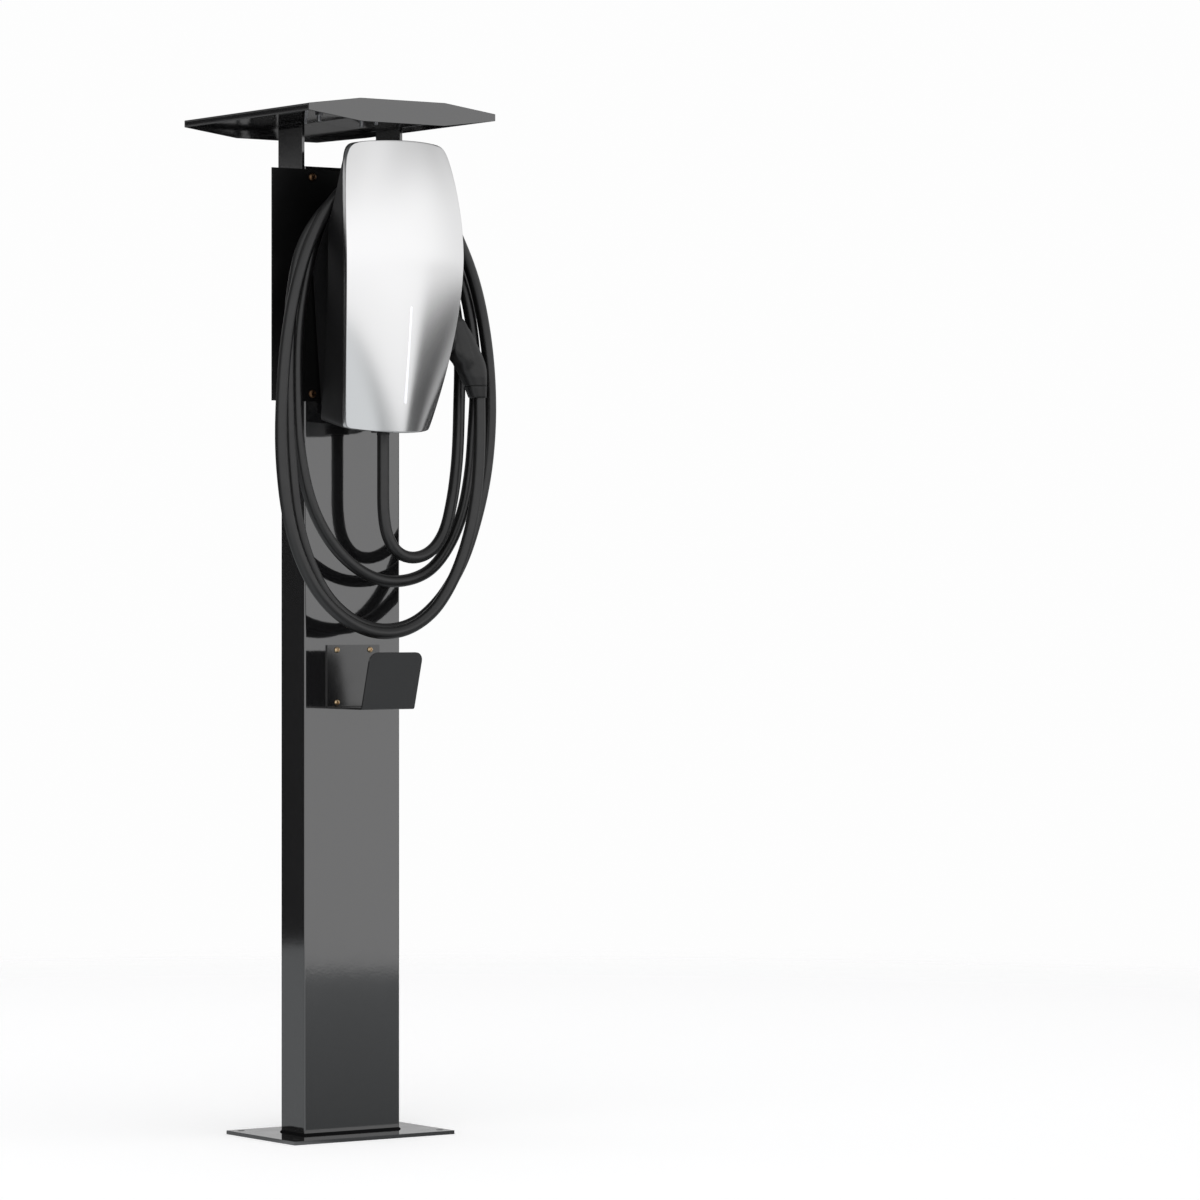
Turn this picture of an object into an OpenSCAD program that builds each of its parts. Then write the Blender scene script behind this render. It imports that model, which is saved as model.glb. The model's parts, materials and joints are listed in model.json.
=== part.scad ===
// Pedestal for an electric vehicle charging unit: a steel column on a base
// plate, a small folded roof, a holster bracket, a wall type charging unit
// and its cable, wound over the unit and docked with its connector.
// Origin: centre of the base plate's underside. +Z up, front faces -Y.

/* [Base] */
// Width of the base plate
base_w = 251; // [236:1:300]
// Depth of the base plate
base_d = 175; // [156:1:220]
// Thickness of the base plate
base_t = 5; // [4:0.5:6]
// Spacing of the anchor holes, left to right
anchor_dx = 224; // [200:1:226]
// Spacing of the anchor holes, front to back
anchor_dy = 142; // [110:1:146]
// Diameter of the anchor holes
anchor_d = 10; // [8:0.5:12]
// Diameter of the supply opening in the base plate
conduit_d = 40; // [30:1:44]

/* [Column] */
// Width of the column
column_w = 150; // [150:1:152]
// Height of the column's top above the floor
column_top = 1289; // [1287:0.5:1290]
// Wall thickness of the column
column_wall = 3; // [2.5:0.5:3]
// Outer corner radius of the column
column_r = 2.5; // [2:0.5:6]

/* [Mount plate] */
// Width of the mount plate
plate_w = 252.8; // [200:0.4:256]
// Lower edge of the mount plate
plate_z0 = 977.6; // [974:0.2:979]
// Upper edge of the mount plate
plate_z1 = 1285; // [1283:0.5:1287]

/* [Roof] */
// Width of the roof
roof_w = 291; // [240:1:320]
// Front edge of the roof, in front of the column's centre
roof_front = 154.9; // [150:0.1:165]
// Rear edge of the roof, behind the column's centre
roof_rear = 163.2; // [100:0.2:170]
// Thickness of the roof sheet
roof_t = 2; // [1.5:0.25:2]

/* [Holster] */
// Width of the holster bracket
holster_w = 82; // [74:1:100]
// How far the shelf reaches in front of the column's centre
holster_reach = 118; // [100:1:125]
// Height of the holster's lip above its shelf
holster_lip = 75; // [50:1:80]

/* [Charging unit] */
// Wall thickness of the housing and the cover
shell_t = 3; // [2.5:0.25:3]
// Depth of the cover's bright rim
rim_d = 8; // [5:0.1:9]
// Width of the light bar
light_w = 5; // [4:0.5:7]

/* [Cable] */
// Diameter of the charging cable
cable_d = 16; // [14:0.5:16]

/* [Hidden] */
$fn = 48;

// column faces
cd = 60;
cf = -cd / 2;
plate_t = 3;
pf = cf - plate_t;           // front of the mount plate
bracket_t = 3;
hb = pf - bracket_t;         // back of the charging unit

// fastener places in the column's front, [x, z]
plate_pts = [for (x = [-65, 65], z = [987.5, 1274.8]) [x, z]];
holster_pts = [for (x = [-26, 26], z = [578, 648]) [x, z]];
wall_pts = [for (x = [-40, 40], z = [1010, 1200]) [x, z]];
side_z = [1205, 1262];
entry_z = 1060;

// ---------- helpers ----------

function unit(v) = v / norm(v);

// rounds the corners of a closed outline, R holds one radius for each point
function rounded(P, R, n = 6) = [for (i = [0 : len(P) - 1])
  let (A = P[(i + len(P) - 1) % len(P)], B = P[i], C = P[(i + 1) % len(P)],
       u = unit(A - B), v = unit(C - B), a = acos(u * v) / 2, r = R[i],
       c = B + unit(u + v) * r / sin(a),
       p = B + u * r / tan(a) - c, q = B + v * r / tan(a) - c,
       a0 = atan2(p.y, p.x), d0 = atan2(q.y, q.x) - a0,
       d = d0 > 180 ? d0 - 360 : d0 < -180 ? d0 + 360 : d0)
  each r == 0 ? [B] : [for (k = [0 : n]) c + r * [cos(a0 + d * k / n), sin(a0 + d * k / n)]]];

// outline in X and Z, extruded from y0 to y1
module slab_y(y0, y1) { translate([0, y1, 0]) rotate([90, 0, 0]) linear_extrude(y1 - y0) children(); }
// outline in Y and Z, extruded from x0 to x1
module slab_x(x0, x1) { translate([x0, 0, 0]) rotate([90, 0, 90]) linear_extrude(x1 - x0) children(); }
// cylinder along Y
module rod_y(p, r, y0, y1) { translate([p.x, y1, p[1]]) rotate([90, 0, 0]) cylinder(r = r, h = y1 - y0); }
// cylinder along X
module rod_x(y, z, r, x0, x1) { translate([x0, y, z]) rotate([0, 90, 0]) cylinder(r = r, h = x1 - x0); }

module rrect(w, d, r) {
  square([w - 2 * r, d], center = true);
  square([w, d - 2 * r], center = true);
  for (x = [-1, 1], y = [-1, 1]) translate([x * (w / 2 - r), y * (d / 2 - r)]) circle(r = r);
}

// pan head screw with a cross recess, head seated on z = 0, shank downwards
module pan_screw(hr, hh, sr, len) {
  difference() {
    union() {
      rotate_extrude() polygon([[0, 0], [hr, 0], [hr, hh * 0.35], [hr * 0.86, hh * 0.72],
                                [hr * 0.55, hh * 0.94], [0, hh]]);
      translate([0, 0, -len]) cylinder(r = sr, h = len + 0.1);
    }
    for (a = [0, 90]) rotate([0, 0, a])
      translate([-hr * 0.55, -hr * 0.12, hh * 0.4]) cube([hr * 1.1, hr * 0.24, hh]);
  }
}

// closed skin over a list of rings of equal length, fans to c0 and c1
module skin(L, c0, c1) {
  n = len(L[0]);
  m = len(L);
  pts = concat([for (r = L) each r], [c0, c1]);
  polyhedron(points = pts, faces = concat(
    [for (i = [0 : n - 1]) [m * n, (i + 1) % n, i]],
    [for (j = [0 : m - 2], i = [0 : n - 1]) each
      [[j * n + i, j * n + (i + 1) % n, (j + 1) * n + (i + 1) % n],
       [j * n + i, (j + 1) * n + (i + 1) % n, (j + 1) * n + i]]],
    [for (i = [0 : n - 1]) [m * n + 1, (m - 1) * n + i, (m - 1) * n + (i + 1) % n]]));
}

// ---------- stand ----------

module base_plate() color([0.08, 0.08, 0.085]) difference() {
  linear_extrude(base_t) rrect(base_w, base_d, 1.5);
  for (x = [-1, 1], y = [-1, 1])
    translate([x * anchor_dx / 2, y * anchor_dy / 2, -1]) cylinder(d = anchor_d, h = base_t + 2);
  translate([0, 0, -1]) cylinder(d = conduit_d, h = base_t + 2);
}

module column() color([0.08, 0.08, 0.085]) difference() {
  translate([0, 0, base_t]) linear_extrude(column_top - base_t) difference() {
    rrect(column_w, cd, column_r);
    rrect(column_w - 2 * column_wall, cd - 2 * column_wall, max(0.6, column_r - column_wall + 0.5));
  }
  for (p = plate_pts) rod_y(p, 4.5, cf - 1, cf + 5);
  for (p = holster_pts) rod_y(p, 3.2, cf - 1, cf + 5);
  for (p = wall_pts) rod_y(p, 3.8, cf - 1, cf + 5);
  rod_y([0, entry_z], 16, cf - 1, cf + 5);
  for (s = [-1, 1], z = side_z)
    rod_x(0, z, 4.5, s > 0 ? column_w / 2 - 5 : -column_w / 2 - 1, s > 0 ? column_w / 2 + 1 : -column_w / 2 + 5);
}

module column_cap() color([0.1, 0.1, 0.1])
  translate([0, 0, column_top - 3]) linear_extrude(3)
    rrect(column_w - 2 * column_wall - 0.4, cd - 2 * column_wall - 0.4, 1.4);

module nut_y(p, r, b) difference() {
  rod_y(p, r, cf, cf + 13);
  rod_y(p, b, cf - 1, cf + 14);
}

module rivet_nuts() color([0.72, 0.7, 0.62]) {
  for (p = plate_pts) nut_y(p, 4.45, 3);
  for (p = holster_pts) nut_y(p, 3.15, 2);
  for (p = wall_pts) nut_y(p, 3.75, 2.5);
  for (s = [-1, 1], z = side_z) difference() {
    rod_x(0, z, 4.45, s > 0 ? column_w / 2 - 13 : -column_w / 2, s > 0 ? column_w / 2 : -column_w / 2 + 13);
    rod_x(0, z, 3, s > 0 ? column_w / 2 - 14 : -column_w / 2 - 1, s > 0 ? column_w / 2 + 1 : -column_w / 2 + 14);
  }
}

module mount_plate() color([0.08, 0.08, 0.085]) difference() {
  translate([-plate_w / 2, pf, plate_z0]) cube([plate_w, plate_t, plate_z1 - plate_z0]);
  for (p = plate_pts) rod_y(p, 3.3, pf - 1, cf + 1);
  for (p = wall_pts) rod_y(p, 2.8, pf - 1, cf + 1);
  rod_y([0, entry_z], 16, pf - 1, cf + 1);
}

module mount_plate_screws() color([0.78, 0.6, 0.32])
  for (p = plate_pts) translate([p.x, pf, p[1]]) rotate([90, 0, 0]) pan_screw(5.6, 3.9, 2.9, 14);

// folded roof: flat middle, two sloping sides, upright side strips
rz = 1370.5;
roof_fold = 65.8;
roof_side_z = 1359.9;
roof_low_z = 1350.7;

module roof_sheet() color([0.08, 0.08, 0.085])
  slab_y(-roof_front + roof_t, roof_rear - roof_t)
    polygon(rounded([[-roof_w / 2, roof_low_z], [-roof_w / 2, roof_side_z], [-roof_fold, rz], [roof_fold, rz],
      [roof_w / 2, roof_side_z], [roof_w / 2, roof_low_z], [roof_w / 2 - roof_t, roof_low_z],
      [roof_w / 2 - roof_t, roof_side_z - 1.8], [roof_fold - 0.2, rz - roof_t], [-roof_fold + 0.2, rz - roof_t],
      [-roof_w / 2 + roof_t, roof_side_z - 1.8], [-roof_w / 2 + roof_t, roof_low_z]],
      [0, 2.5, 6, 6, 2.5, 0, 0, 0.6, 4, 4, 0.6, 0], 4));

module roof_end() polygon([[-roof_w / 2, roof_low_z], [-roof_w / 2, roof_side_z], [-roof_fold, rz],
  [roof_fold, rz], [roof_w / 2, roof_side_z], [roof_w / 2, roof_low_z],
  [roof_fold - 1.5, 1340.1], [-roof_fold + 1.5, 1340.1]]);

module roof_front_panel() color([0.08, 0.08, 0.085]) slab_y(-roof_front, -roof_front + roof_t) roof_end();
module roof_rear_panel() color([0.08, 0.08, 0.085]) slab_y(roof_rear - roof_t, roof_rear) roof_end();

strap_t = 4;
strap_top = rz - roof_t - 1;
strap_x = column_w / 2 + strap_t;
stud_pts = [for (x = [-45, 45], y = [-18, 18]) [x, y]];

module roof_bracket() color([0.1, 0.1, 0.105]) difference() {
  slab_y(-cd / 2, cd / 2)
    polygon(rounded([[-strap_x, 1185], [-strap_x, strap_top], [strap_x, strap_top], [strap_x, 1185],
      [strap_x - strap_t, 1185], [strap_x - strap_t, strap_top - strap_t],
      [-strap_x + strap_t, strap_top - strap_t], [-strap_x + strap_t, 1185]],
      [0, 8, 8, 0, 0, 4, 4, 0], 8));
  for (z = side_z) rod_x(0, z, 3.3, -100, 100);
  for (p = stud_pts) translate([p.x, p.y, strap_top - 10]) cylinder(r = 3.3, h = 20);
}

module roof_bracket_screws() color([0.2, 0.2, 0.2])
  for (s = [-1, 1], z = side_z) translate([s * strap_x, 0, z]) rotate([0, s * 90, 0]) pan_screw(5.6, 3.4, 2.9, 15);

module roof_studs() color([0.6, 0.6, 0.6])
  for (p = stud_pts) translate([p.x, p.y, rz - roof_t - 18]) cylinder(r = 2.9, h = 18);

module roof_washers() color([0.1, 0.1, 0.1])
  for (p = stud_pts) translate([p.x, p.y, strap_top]) difference() {
    cylinder(r = 8, h = 1);
    translate([0, 0, -1]) cylinder(r = 3.2, h = 3);
  }

module roof_nuts() color([0.65, 0.65, 0.66])
  for (p = stud_pts) translate([p.x, p.y, strap_top - strap_t - 5]) difference() {
    cylinder(r = 5.77, h = 5, $fn = 6);
    translate([0, 0, -1]) cylinder(r = 3, h = 7);
  }

// folded holster: back plate, shelf, leaning lip
hz = 570;
ht = 2.5;
lip_lean = 22;
module holster_profile() polygon(rounded([[cf, hz + 84.5], [cf, hz], [-holster_reach, hz],
    [-holster_reach - lip_lean, hz + holster_lip], [-holster_reach - lip_lean + ht * 1.04, hz + holster_lip + 0.7],
    [-holster_reach + ht * 0.75, hz + ht], [cf - ht, hz + ht], [cf - ht, hz + 84.5]],
    [0, 4.5, 4.5, 0, 0, 2, 1.2, 0], 6));

module holster_bracket() color([0.09, 0.09, 0.095]) difference() {
  intersection() {
    slab_x(-holster_w / 2, holster_w / 2) holster_profile();
    union() {
      translate([-100, -60, hz - 5]) cube([200, 60, 120]);
      slab_y(-200, -59) polygon(rounded([[-holster_w / 2, hz - 5], [holster_w / 2, hz - 5],
        [holster_w / 2, hz + holster_lip + 0.6], [-holster_w / 2, hz + holster_lip + 0.6]], [0, 0, 12, 12], 10));
    }
  }
  for (p = holster_pts) rod_y(p, 2.3, cf - ht - 1, cf + 1);
}

module holster_screws() color([0.78, 0.6, 0.32])
  for (p = holster_pts) translate([p.x, cf - ht, p[1]]) rotate([90, 0, 0]) pan_screw(3.9, 2.8, 1.9, 12);

module cable_grommet() color([0.06, 0.06, 0.06])
  translate([0, 0, entry_z]) rotate([90, 0, 0]) translate([0, 0, -cf - 5]) rotate_extrude()
    polygon([[11, 0], [18.5, 0], [18.5, 1.8], [15.8, 1.8], [15.8, 8], [11, 8]]);

// ---------- charging unit ----------

// half width of the unit's outline, and its front rim's place, by height
zm = 1170;
function half_w(z) = z < zm ? 91.4 - 25.9 * pow((zm - z) / 229, 1.75) : 91.4 - 8.7 * pow((z - zm) / 115, 2.1);
function rim_y(z) = z < 1165 ? 161.1 - 43.5 * pow((1165 - z) / 220, 1.7) : 161.1 - 22.5 * pow((z - 1165) / 145, 1.65);
// how far the middle bulges in front of the rim
function bulge(z) = 17 + 21 * pow(max(0, 1150 - z) / 216, 1.6) + 5.5 * pow(max(0, z - 1160) / 150, 1.6);
function front_y(x, z) = -rim_y(z) - bulge(z) * (1 - pow(min(1, abs(x) / half_w(z)), 2.2));

// outline of the unit seen from the front: a rounded, crowned shape
top_h = 192.5;
low_h = 191;
mid_z = 1125;
sq = 14;
side_u = [for (i = [0 : 18]) -0.93 + 1.86 * i / 18];
end_u = [for (i = [0 : 8]) 0.93 - 1.86 * i / 8];
function sqy(u) = pow(1 - pow(abs(u), sq), 1 / sq);
// unit ring, anticlockwise seen from the front (x to the right, z up)
ring_uv = concat(
  [for (u = side_u) [sqy(u), u]], [[0.961, 0.9395], [0.9517, 0.9517], [0.9395, 0.961]],
  [for (u = end_u) [u, sqy(u)]], [[-0.9395, 0.961], [-0.9517, 0.9517], [-0.961, 0.9395]],
  [for (u = side_u) [-sqy(u), -u]], [[-0.961, -0.9395], [-0.9517, -0.9517], [-0.9395, -0.961]],
  [for (u = end_u) [-u, -sqy(u)]], [[0.9395, -0.961], [0.9517, -0.9517], [0.961, -0.9395]]);
function ring_z(p) = mid_z + (p.y > 0 ? top_h * p.y - 4.5 * p.x * p.x * pow(p.y, 6)
                                      : low_h * p.y + 6 * p.x * p.x * pow(p.y, 6));
// the lower corners are tighter than the upper ones
low_sq = 44;
function tight(p) = p.y > 0 ? p : p / pow(pow(abs(p.x), low_sq) + pow(abs(p.y), low_sq), 1 / low_sq);
// a point of the outline, moved inwards by t
function outline(r, t = 0) = let (p = tight(r), z = ring_z(p), q = [p.x * half_w(z), z],
  m = abs(p.y) > 0.935 ? [p.x * (abs(p.x) > 0.935 ? 0.7 : 0.02), sign(p.y)] : [sign(p.x), 0.05 * p.y])
  q - t * unit(m);

// ring on the front surface, s = 1 at the rim, e pushes it back, t moves it in
function front_ring(s, e = 0, t = 0) = [for (p = ring_uv) let (q = outline(p, t),
  x = q.x * s, z = mid_z + (q.y - mid_z) * s) [x, front_y(x, z) + e, z]];
// ring behind the rim, at depth e behind the front edge
function rim_ring(e, t = 0) = [for (p = ring_uv) let (q = outline(p), r = outline(p, t))
  [r.x, front_y(q.x, q.y) + e, r.y]];

cover_s = [0.12, 0.26, 0.4, 0.54, 0.67, 0.79, 0.89, 0.96, 1];
module front_cover() color([0.86, 0.86, 0.87]) difference() {
  skin(concat(
    [for (s = cover_s) front_ring(s)],
    [rim_ring(rim_d), rim_ring(rim_d, 2.5)],
    [for (i = [len(cover_s) - 1 : -1 : 0]) front_ring(cover_s[i], 2.6, 2.5)]),
    [0, front_y(0, mid_z), mid_z], [0, front_y(0, mid_z) + 2.6, mid_z]);
  light_slot(light_w + 0.2, 30);
}

seal_t = 1;
module cover_seal() color([0.05, 0.05, 0.05])
  let (A = rim_ring(rim_d), B = rim_ring(rim_d, 2.5), C = rim_ring(rim_d + seal_t, 2.5), D = rim_ring(rim_d + seal_t))
    ring_body([A, B, C, D]);

// closed body whose section is the loop of rings L
module ring_body(L) {
  n = len(L[0]);
  m = len(L);
  polyhedron(points = [for (r = L) each r], faces = [for (j = [0 : m - 1], i = [0 : n - 1]) each
    [[j * n + (i + 1) % n, j * n + i, ((j + 1) % m) * n + (i + 1) % n],
     [((j + 1) % m) * n + (i + 1) % n, j * n + i, ((j + 1) % m) * n + i]]]);
}

// light bar: an upright slot that follows the cover's slope
bar_z0 = 972;
bar_z1 = 1099;
bar_tilt = 6.5;
module bar_frame() translate([0, front_y(0, (bar_z0 + bar_z1) / 2), (bar_z0 + bar_z1) / 2]) rotate([bar_tilt, 0, 0]) children();
module bar_outline(w) let (h = (bar_z1 - bar_z0) / 2 / cos(bar_tilt) - w / 2) {
  square([w, 2 * h], center = true);
  for (s = [-1, 1]) translate([0, s * h]) circle(d = w);
}
module light_slot(w, d) bar_frame() rotate([90, 0, 0]) translate([0, 0, -d / 2]) linear_extrude(d) bar_outline(w);
module light_bar() color([0.97, 0.98, 1]) bar_frame() rotate([90, 0, 0]) translate([0, 0, -5]) linear_extrude(5.6) bar_outline(light_w);
module led_board() color([0.1, 0.35, 0.2]) bar_frame() translate([-7, 5, -60]) cube([14, 1.6, 120]);

// hub outline at the wall: round above, narrowing downwards
hub_c = [0, 1182];
hub_r = 68;
lip_c = [0, 1192];
function lip_len(z) = z > 1290 ? 0 : z > 1210 ? 36.7 * (1 - pow((z - 1210) / 80, 0.7)) : 36.7 + 16 * pow((1210 - z) / 270, 2);
function hub_side(z) = 51 + 17 * pow(max(0, z - 958) / 224, 0.9);
function hub_pt(q) = q.y >= lip_c.y
  ? hub_c + hub_r * unit(q - lip_c)
  : let (z = hub_c.y - (lip_c.y - q.y) * 224 / 258) [q.x / half_w(q.y) * hub_side(z), z];
// end of the straight lip, rising a little along the underside
function lip_pt(q) = [q.x, q.y + 15 * pow(max(0, 1000 - q.y) / 66, 2)];
function lip_y(q) = -rim_y(q.y) + rim_d + seal_t + lip_len(q.y);
// moves a point inwards, away from the shell's outside
function inset(q, t) = let (c = [0, min(lip_c.y, max(1010, q.y))]) q - t * unit(q - c);
// how sharply the flare narrows behind the lip
flare_pow = 6;
flare = [0.05, 0.11, 0.18, 0.27, 0.38, 0.52, 0.72, 1];
function flare_ring(f, t, e) = [for (p = ring_uv) let (q = outline(p), a = lip_pt(q), b = hub_pt(q),
  k = pow(1 - f, flare_pow), c = b + (a - b) * k, y0 = lip_y(q), i = inset(c, t)) [i.x, y0 + (hb - e - y0) * f, i.y]];
function housing_rings(t, e) = concat(
  [[for (p = ring_uv) let (q = outline(p, min(t, 2.5)), o = outline(p)) [q.x, front_y(o.x, o.y) + rim_d + seal_t, q.y]]],
  [[for (p = ring_uv) let (q = outline(p), a = inset(lip_pt(q), t)) [a.x, lip_y(q), a.y]]],
  [for (f = flare) flare_ring(f, t, e)]);

gland_x = 12;
gland_y = -87;
dock_y = -110;
dock_z = 1062;
dock_r = 20;
function rev(L) = [for (i = [len(L) - 1 : -1 : 0]) L[i]];
board_pts = [for (x = [-36, 36], z = [995, 1165]) [x, z]];
fix_pts = [for (x = [-30, 30], z = [1030, 1215]) [x, z]];

module rear_housing() color([0.07, 0.07, 0.075]) difference() {
  union() {
    skin(concat(rev(housing_rings(shell_t, shell_t)), housing_rings(0, 0)), [0, hb - shell_t, 1110], [0, hb, 1110]);
    translate([gland_x, gland_y, 938]) cylinder(r = 16, h = 10.6);
  }
  translate([gland_x, gland_y, 900]) cylinder(r = 11.6, h = 60);
  rod_x(dock_y, dock_z, dock_r + 0.2, 40, 120);
  for (p = fix_pts) rod_y(p, 2.3, hb - 6, hb + 2);
  rod_y([0, entry_z], 14, hb - 6, hb + 2);
}

module wall_bracket() color([0.7, 0.71, 0.72]) difference() {
  translate([-44, hb, 990]) cube([88, bracket_t, 240]);
  for (p = wall_pts) translate([p.x, pf, p[1]]) rotate([90, 0, 0]) {
    translate([0, 0, -1]) cylinder(r = 2.6, h = bracket_t + 2);
    translate([0, 0, 0.5]) cylinder(r1 = 2.6, r2 = 5.2, h = bracket_t - 0.4);
  }
  for (p = fix_pts) rod_y(p, 2, hb - 1, pf + 1);
  rod_y([0, entry_z], 19, hb - 1, pf + 1);
}

// countersunk, flush with the wall bracket
module wall_bracket_screws() color([0.7, 0.7, 0.7])
  for (p = wall_pts) translate([p.x, pf, p[1]]) rotate([90, 0, 0]) difference() {
    union() {
      translate([0, 0, -14]) cylinder(r = 2.4, h = 15);
      translate([0, 0, 0.6]) cylinder(r1 = 2.4, r2 = 4.7, h = bracket_t - 0.7);
    }
    for (a = [0, 90]) rotate([0, 0, a]) translate([-2.4, -0.5, bracket_t - 1.4]) cube([4.8, 1, 2]);
  }

module housing_screws() color([0.7, 0.7, 0.7])
  for (p = fix_pts) translate([p.x, hb - shell_t, p[1]]) rotate([90, 0, 0]) pan_screw(4, 2.4, 1.9, shell_t + 2.6);

module main_board() color([0.08, 0.32, 0.16]) difference() {
  translate([-42, -60, 985]) cube([84, 1.6, 190]);
  for (p = board_pts) rod_y(p, 1.7, -62, -56);
}

module board_spacers() color([0.75, 0.68, 0.4])
  for (p = board_pts) difference() {
    rod_y(p, 3.5, -58.4, hb - shell_t);
    rod_y(p, 1.5, -60, hb);
  }

module board_screws() color([0.7, 0.7, 0.7])
  for (p = board_pts) translate([p.x, -60, p[1]]) rotate([90, 0, 0]) pan_screw(3, 2, 1.4, 12);

module relay() color([0.1, 0.1, 0.11]) {
  translate([-34, -88, 1100]) cube([34, 28, 50]);
}

module current_sensor() color([0.1, 0.15, 0.4])
  translate([22, -60, 1115]) rotate([90, 0, 0]) difference() {
    cylinder(r = 13, h = 12);
    translate([0, 0, -1]) cylinder(r = 7, h = 14);
  }

module terminal_block() color([0.12, 0.45, 0.2]) difference() {
  translate([-32, -82, 1000]) cube([64, 22, 20]);
  for (x = [-24, -8, 8, 24]) translate([x, -71, 1010]) cylinder(r = 4, h = 12);
}

module controller_module() color([0.75, 0.75, 0.77]) translate([6, -63.5, 1135]) cube([26, 3.5, 26]);

module cable_gland() color([0.12, 0.12, 0.125]) translate([gland_x, gland_y, 948.6]) difference() {
  union() {
    cylinder(r = 15.5, h = 6, $fn = 6);
    cylinder(r = 13, h = 14);
  }
  translate([0, 0, -1]) cylinder(r = 11.2, h = 16);
}

module gland_nut() color([0.12, 0.12, 0.125]) translate([gland_x, gland_y, 962.6]) difference() {
  cylinder(r = 16, h = 8, $fn = 6);
  translate([0, 0, -1]) cylinder(r = 9, h = 10);
}

// tapered strain relief, from inside the gland down to the cable
module cable_boot() color([0.05, 0.05, 0.05]) translate([gland_x, gland_y, 0]) {
  translate([0, 0, 933]) cylinder(r1 = cable_d / 2 + 0.4, r2 = 10.8, h = 27);
}

module connector_dock() color([0.06, 0.06, 0.065]) difference() {
  union() {
    rod_x(dock_y, dock_z, dock_r, 64, 100);
    rod_x(dock_y, dock_z, dock_r + 1, 96, 100);
  }
  rod_x(dock_y, dock_z, dock_r - 2.5, 68, 101);
}

// ---------- cable ----------

// centreline of the cable, from the strain relief to the connector's collar
lead = [[12, -87, 933], [12, -87, 880], [13, -87, 826], [20, -87, 796], [38, -87, 775], [63, -87, 770],
  [88, -86, 779], [111, -82, 803], [127, -77, 844], [139, -69, 900], [146, -62, 975], [143, -57, 1057]];
turn_1 = [[129, -57, 1138], [108, -59, 1188], [76, -61, 1230], [38, -64, 1254], [0, -67, 1262], [-36, -70, 1254],
  [-66, -73, 1231], [-87, -76, 1191], [-103, -78, 1138], [-115, -79, 1075], [-118, -79, 995], [-113, -79, 912],
  [-96, -79, 844], [-68, -78, 796], [-32, -77, 762], [10, -76, 742], [54, -74, 740], [94, -72, 753],
  [126, -69, 784], [151, -66, 830], [164, -66, 886], [169, -67, 946], [170, -68, 1006], [165, -68, 1066],
  [152, -69, 1126]];
turn_2 = [[129, -72, 1181], [96, -77, 1230], [50, -82, 1259], [3, -85, 1267], [-42, -88, 1256], [-84, -92, 1225],
  [-118, -95, 1179], [-134, -97, 1124], [-140, -97, 1055], [-141, -97, 970], [-137, -97, 888], [-127, -97, 818],
  [-108, -96, 764], [-78, -95, 717], [-36, -94, 686], [12, -92, 675], [58, -90, 684], [99, -88, 713],
  [135, -86, 760], [161, -83, 818], [179, -81, 882], [187, -80, 948], [186, -80, 1014], [177, -81, 1078],
  [159, -86, 1136]];
turn_3 = [[134, -91, 1186], [99, -96, 1236], [52, -99, 1268], [4, -102, 1279], [-42, -104, 1268], [-82, -108, 1235],
  [-117, -113, 1184], [-140, -115, 1125], [-154, -115, 1060], [-162, -115, 980], [-162, -114, 900], [-151, -114, 820],
  [-133, -114, 768], [-105, -114, 723], [-66, -114, 690], [-20, -114, 672], [28, -113, 674], [72, -112, 697],
  [107, -111, 741], [131, -111, 797], [145, -110, 857], [150, -110, 920], [150, -110, 984]];
route = concat(lead, turn_1, turn_2, turn_3);
function heading(i) = i == 0 ? [0, 0, -1] : i == len(route) - 1 ? [0, 0, 1] : unit(route[i + 1] - route[i - 1]);
// first side direction of each ring, carried along the route without twist
function carried(i, u) = let (h = heading(i)) unit(u - (u * h) * h);
function sides(i = 0, u = [1, 0, 0]) = i >= len(route) ? [] : let (v = carried(i, u)) concat([v], sides(i + 1, v));
cable_sides = 10;

module charging_cable() color([0.09, 0.09, 0.09]) {
  S = sides();
  skin([for (i = [0 : len(route) - 1]) let (h = heading(i), v = S[i], w = cross(h, v), r = cable_d / 2)
    [for (k = [0 : cable_sides - 1]) let (a = 360 * k / cable_sides) route[i] + r * (cos(a) * v + sin(a) * w)]],
    route[0], route[len(route) - 1]);
}

// ---------- connector ----------

// side view of the handle, X and Z
handle_outline = [[100, 1044], [106, 1035.5], [115, 1022], [122.5, 1010], [128, 1000], [158.5, 1000], [158.5, 1020],
  [156, 1030.5], [152, 1040], [146, 1050.5], [134.5, 1067.5], [122, 1086], [116, 1091], [100, 1091]];
handle_y = -110;
module handle_solid(g = 0) hull() {
  slab_y(handle_y - 16 + g, handle_y + 16 - g) offset(delta = -7 - g) polygon(handle_outline);
  slab_y(handle_y - 13.5 + g, handle_y + 13.5 - g) offset(delta = -2 - g) polygon(handle_outline);
  slab_y(handle_y - 9.5 + g, handle_y + 9.5 - g) offset(delta = -g) polygon(handle_outline);
}
shell_screw_pts = [[112, 1080], [121, 1032], [147, 1013]];
// where the collar's spigot enters the handle
collar_x = 146;
// frame of the release button: origin on the sloping outer face, +Z outwards
module button_frame() translate([135, handle_y, 1066.8]) rotate([0, 55.9, 0]) children();

module handle_shell() difference() {
  handle_solid();
  handle_solid(3);
  rod_x(handle_y, dock_z, 11.2, 93, 110);
  translate([collar_x, handle_y, 995]) cylinder(r = 9.3, h = 12);
  button_frame() translate([-11.5, -7, -8]) cube([23, 14, 12]);
}

module connector_shell_front() color([0.1, 0.1, 0.105]) difference() {
  union() {
    intersection() {
      handle_shell();
      translate([90, handle_y - 30, 900]) cube([90, 30, 300]);
    }
    for (p = shell_screw_pts) rod_y(p, 3.2, handle_y - 14, handle_y);
  }
  for (p = shell_screw_pts) rod_y(p, 1.45, handle_y - 12, handle_y + 1);
}

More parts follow.
